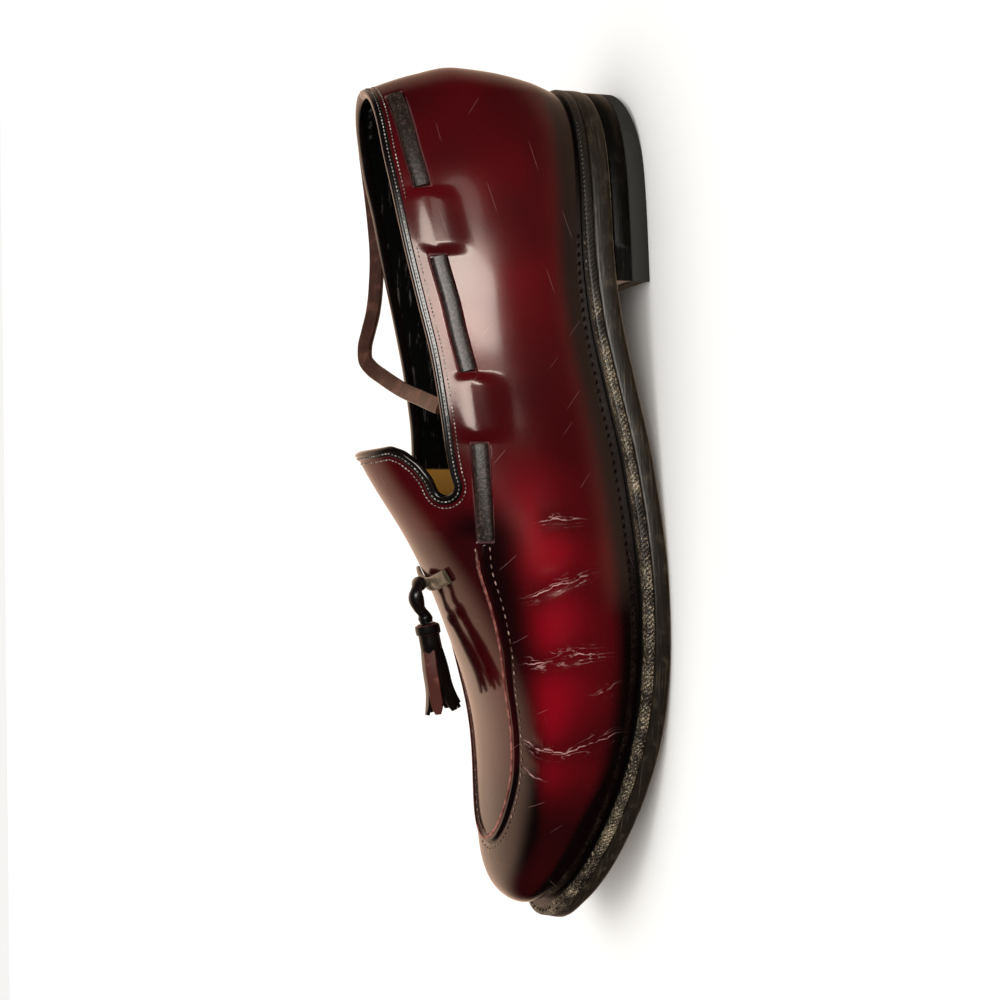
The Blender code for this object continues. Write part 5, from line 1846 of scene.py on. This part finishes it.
@dataclass
class SolePlate:
    """A layer of the sole, with a moulded edge.

    Args:
        name: the piece's name.
        node: the solid it stands for.
        finish: its finish.
        slot: the record's material slot; not used.
        sides: gives both edges in plan for an inset.
        surface: gives the point at a share of the thickness under flat points.
        profile: rows of inset and share of the thickness, down the edge.
    """

    name: str
    node: str
    finish: Finishes
    slot: str
    sides: Callable[[float], tuple[Array, Array]]
    surface: Place
    profile: Table
    under: Finishes | None = None
    fill: int = 14

    def sections(self) -> Array:
        """Closed cross-sections from the heel forward: top, lateral edge, bottom and medial edge."""

        def face(row: Sequence[float], mixes: Array) -> list[Array]:
            """Lines of points between the two sides."""
            lateral, medial = self.sides(row[0])
            return [self.surface(lateral * (1 - mix) + medial * mix, row[1]) for mix in mixes]

        loop = face(self.profile[0], np.linspace(1, 0, self.fill + 1))
        loop += [self.surface(self.sides(inset)[0], share) for inset, share in self.profile[1:]]
        loop += face(self.profile[-1], np.linspace(0, 1, self.fill + 1)[1:])
        loop += [self.surface(self.sides(inset)[1], share) for inset, share in self.profile[-2:0:-1]]
        return np.stack(loop)

    def build(self) -> Piece:
        """Builds the layer."""
        sections = self.sections()
        columns, rows = sections.shape[:2]

        def place(column: Array, row: Array) -> Array:
            """Points of the sections."""
            return sections[column % columns, row]

        bm = mapped_grid(columns, rows - 1, place)
        close_up(bm, NEAR_POINT)
        finishes = [self.finish.material()]
        if self.under:
            finishes.append(self.under.material())
            for face in bm.faces:
                face.material_index = int(face.normal.z < -0.8)
        piece = new_piece(self.name, bm, finishes)
        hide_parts(self.node)
        return piece


@dataclass
class Welt:
    """The grained welt: a ring with a rounded edge, wheeled across its top and stitched."""

    stitch: Stitch = Stitch(3.1, 2.1, 0.9, slant=38.0)
    stitch_inset: float = 1.5
    profile: Table = ((0.6, 0.0), (0.2, 0.18), (0.0, 0.6), (0.0, 2.3), (0.2, 2.8), (0.6, 3.0))

    def build(self) -> list[Piece]:
        """Builds the ring and the stitches on it."""
        rings = [under_seat(FOOT.moved(1.0, inset), depth) for inset, depth in self.profile]
        inner = FOOT.moved(0.0, FOOT_INSET)
        rings += [under_seat(inner, WELT_THICKNESS), under_seat(inner, 0.0), under_seat(FOOT.moved(0.0, 0.0), 0.0)]
        rings = np.stack(rings)
        count = rings.shape[1]
        edge = rings[3]
        marks = lengths_along(edge)
        # down the edge a point counts by its depth, and on the hidden inner side as lying far in
        drops = np.array([depth for _, depth in self.profile] + [-8.0, -8.0, -5.0])
        values: dict[str, Array] = {}

        def place(column: Array, row: Array) -> Array:
            """Points of the rings, with how far round and how far in they lie."""
            values["along"] = marks[row % count]
            values["aside"] = drops[column % len(rings)]
            return rings[column % len(rings), row % count]

        bm = mapped_grid(len(rings), count, place)
        give_values(bm, values)
        close_up(bm, SAME_POINT, fill=False)
        ring = new_piece("welt_strip", bm, [Finishes.WELT.material()])
        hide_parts("welt")
        line = under_seat(FOOT.moved(1.0, self.stitch_inset), 0.0) + (0.0, 0.0, 0.1)
        shown = (FOOT.reach > 2.9) & (line[:, 1] > 60)
        start = int(np.argmax(shown))
        line = np.roll(line, -start, axis=0)[np.roll(shown, -start)]
        ups = np.broadcast_to([0.0, 0.0, 1.0], line.shape)
        return [ring, stitch_row("welt_stitches", line, ups, self.stitch, Finishes.WELT_THREAD, "grained_welt")]


def sole_plates() -> list[SolePlate]:
    """The layers of the sole, from the insole down to the rubber top piece."""
    soft = ((0.9, 0.0), (0.25, 0.04), (0.0, 0.14), (0.0, 0.6), (0.12, 0.78), (0.5, 0.92), (1.3, 1.0))
    crisp = ((0.35, 0.0), (0.0, 0.05), (0.0, 0.95), (0.35, 1.0))
    board = ((0.8, 0.0), (0.0, 0.12), (0.0, 1.0))
    return [
        SolePlate("insole_sock", "insole", Finishes.INSOLE, "tan_insole", FOOT.inner_sides, insole_surface, board),
        SolePlate(
            "outsole_leather", "outsole", Finishes.SOLE_EDGE, "sole_leather", FOOT.outer_sides, outsole_surface, soft,
            Finishes.TREAD,
        ),
        SolePlate("heel_lifts", "heel_stack", Finishes.HEEL, "heel_leather", FOOT.heel_sides, stack_surface, crisp),
        SolePlate(
            "heel_rubber_piece", "heel_top_piece", Finishes.RUBBER, "heel_rubber", FOOT.heel_sides, top_piece_surface,
            crisp,
        ),
    ]


# ---- studio


@dataclass
class Studio:
    """Camera, floor and soft light round the shoe: the camera's sizes in millimetres, the lights' in metres."""

    target: Triple = (0.0, 150.0, 45.0)
    distance: float = 560.0
    elevation: float = 22.0
    roll: float = 0.6
    aside: tuple[float, float] = (42.67, 1.65)
    middle: Triple = (2.0, 152.0, 43.0)
    lens: float = 56.84
    sensor: float = 36.0
    wall: str = "#f6f5f3"
    room: str = "#f4cdb2"
    shade: str = "#120c0b"
    lamp_side: float = 0.295
    lamp_colour: Triple = (1.0, 0.95, 0.88)
    # behind the middle, above the floor, length, height and strength of each soft box
    lamps: tuple[tuple[float, float, float, float, float], ...] = (
        (0.126, 0.066, 0.026, 0.110, 13.0),
        (0.126, 0.073, 0.017, 0.080, 18.0),
        (0.165, 0.066, 0.100, 0.080, 1.3),
        (0.108, 0.180, 0.124, 0.170, 7.0),
        (0.090, 0.175, 0.076, 0.120, 17.0),
    )
    # name, direction, spread in degrees and strength of each even light
    suns: tuple[tuple[str, Triple, float, float], ...] = (
        ("sky", (-0.15, 0.1, 1.0), 60.0, 1.0),
        ("front", (1.0, 0.1, 0.6), 40.0, 0.6),
    )
    floor_reach: float = 25.0

    def camera(self) -> Piece:
        """Places the camera on the shoe's lateral side, with its toe pointing down in the frame."""
        tilt, roll = math.radians(self.elevation), math.radians(self.roll)
        ahead = np.array([-math.cos(tilt), 0.0, -math.sin(tilt)])
        right = np.array([math.sin(tilt), 0.0, -math.cos(tilt)])
        down = np.array([0.0, 1.0, 0.0])
        turned_right = right * math.cos(roll) + down * math.sin(roll)
        turned_down = -right * math.sin(roll) + down * math.cos(roll)
        place = np.array(self.target) + turned_right * self.aside[0] + turned_down * self.aside[1]
        place = place - ahead * self.distance
        flip = np.array([1, -1, 1])
        centre = Vector(to_world(np.array(self.middle)))
        position = Vector(to_world(place))
        forward = (centre - position).normalized()
        level = Vector(turned_right * flip)
        level = (level - forward * level.dot(forward)).normalized()
        up = level.cross(forward)
        turn = Matrix((level, up, -forward)).transposed()
        data = bpy.data.cameras.new("camera")
        data.sensor_width = self.sensor
        data.lens = self.lens
        data.clip_start = 0.01
        camera = linked("camera", data)
        camera.matrix_world = Matrix.Translation(position) @ turn.to_4x4()
        bpy.context.scene.camera = camera
        return camera

    def floor(self) -> Piece:
        """Lays a wide sheet of pale paper."""
        bm = bmesh.new()
        bmesh.ops.create_grid(bm, x_segments=1, y_segments=1, size=self.floor_reach)
        mesh = bpy.data.meshes.new("studio_floor")
        bm.to_mesh(mesh)
        bm.free()
        floor = linked("studio_floor", mesh)
        mesh.materials.append(Finishes.PAPER.material())
        floor.visible_glossy = False
        return floor

    def sun(self, name: str, place: Sequence[float], spread: float, strength: float) -> Piece:
        """Adds even light that is left out of reflections.

        Args:
            name: the light's name.
            place: the direction it comes from.
            spread: the angle it is spread over, in degrees.
            strength: how strong it is.

        Returns:
            The light.
        """
        data = bpy.data.lights.new(name, "SUN")
        data.angle = math.radians(spread)
        data.energy = strength
        lamp = linked(name, data)
        lamp.matrix_world = Vector(place).to_track_quat("Z", "Y").to_matrix().to_4x4()
        lamp.visible_glossy = False
        return lamp

    def soft_box(self, name: str, place: tuple[float, float], size: tuple[float, float], strength: float) -> Piece:
        """Adds a small soft box beside the quarter that only gives the leather its gleam.

        Args:
            name: the lamp's name.
            place: metres behind the shoe's middle and above the floor.
            size: length and height in metres.
            strength: how bright its face is.

        Returns:
            The lamp.
        """
        data = bpy.data.lights.new(name, "AREA")
        data.shape = "ELLIPSE"
        data.size_y, data.size = size
        data.energy = strength * math.pi * math.pi / 4 * size[0] * size[1]
        data.color = self.lamp_colour
        lamp = linked(name, data)
        lamp.location = (self.lamp_side, *place)
        lamp.rotation_euler = (0.0, math.radians(90), 0.0)
        lamp.visible_camera = False
        lamp.visible_diffuse = False
        return lamp

    def world(self) -> None:
        """Fills the room with pale light; what the leather mirrors has dark cards on the camera's side."""
        world = bpy.data.worlds.new("studio")
        world.use_nodes = True
        tree = world.node_tree
        place = add(tree, "TexCoord", output="Generated")
        axes = add(tree, "SeparateXYZ", {0: place}).node.outputs
        # edges of what is mirrored: the axis of the direction, and where the edge starts and ends
        edges = (
            (0, -0.06, -0.58), (1, -0.85, -0.45), (1, 0.9, 0.1),
            (2, -0.36, -0.5), (1, 0.05, 0.18), (2, -0.8, -0.62),
        )
        far, ahead, behind, under, aft, low = (
            add(tree, "MapRange", {0: axes[axis], 1: start, 2: end}) for axis, start, end in edges
        )
        far = add(tree, "Math", {0: far, 1: ahead}, operation="MULTIPLY")
        behind = add(tree, "Math", {0: behind, 1: 0.65, 2: 0.35}, operation="MULTIPLY_ADD")
        far = add(tree, "Math", {0: far, 1: behind}, operation="MULTIPLY")
        under = add(tree, "Math", {0: under, 1: aft}, operation="MULTIPLY")
        under = add(tree, "Math", {0: under, 1: low}, operation="MULTIPLY")
        under = add(tree, "Math", {0: under, 1: 0.4}, operation="MULTIPLY")
        pale = add(tree, "Math", {0: far, 1: under}, operation="MAXIMUM")
        room = add(tree, "Mix", {0: pale, 6: linear(self.shade), 7: linear(self.room)})
        mirrored = add(tree, "LightPath", output="Is Glossy Ray")
        shown = add(tree, "Mix", {0: mirrored, 6: linear(self.wall), 7: room})
        feed(tree, tree.nodes["Background"], {"Color": shown})
        bpy.context.scene.world = world

    def build(self) -> None:
        """Sets up the whole stage."""
        self.floor()
        self.world()
        for number, (behind, above, length, height, strength) in enumerate(self.lamps):
            self.soft_box(f"soft_box_{number}", (behind, above), (length, height), strength)
        for sun in self.suns:
            self.sun(*sun)


def main() -> None:
    """Builds the stage and the shoe."""
    logging.basicConfig(level=logging.INFO, format="%(message)s")
    studio = Studio()
    studio.camera()
    slack = SlackLace().build()
    tassels = [piece for place in Tassel.AXES for piece in Tassel(place).build()]
    Knot().build(tassels)
    log.info("cords done: %s", slack.name)
    Upper().build()
    Binding().build()
    ApronStitches().build()
    MedialSeam().build()
    LaceBars().build()
    for plate in sole_plates():
        plate.build()
    Welt().build()
    studio.build()
    bpy.context.scene.view_settings.view_transform = "Standard"
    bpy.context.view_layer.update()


if __name__ == "__main__":
    main()
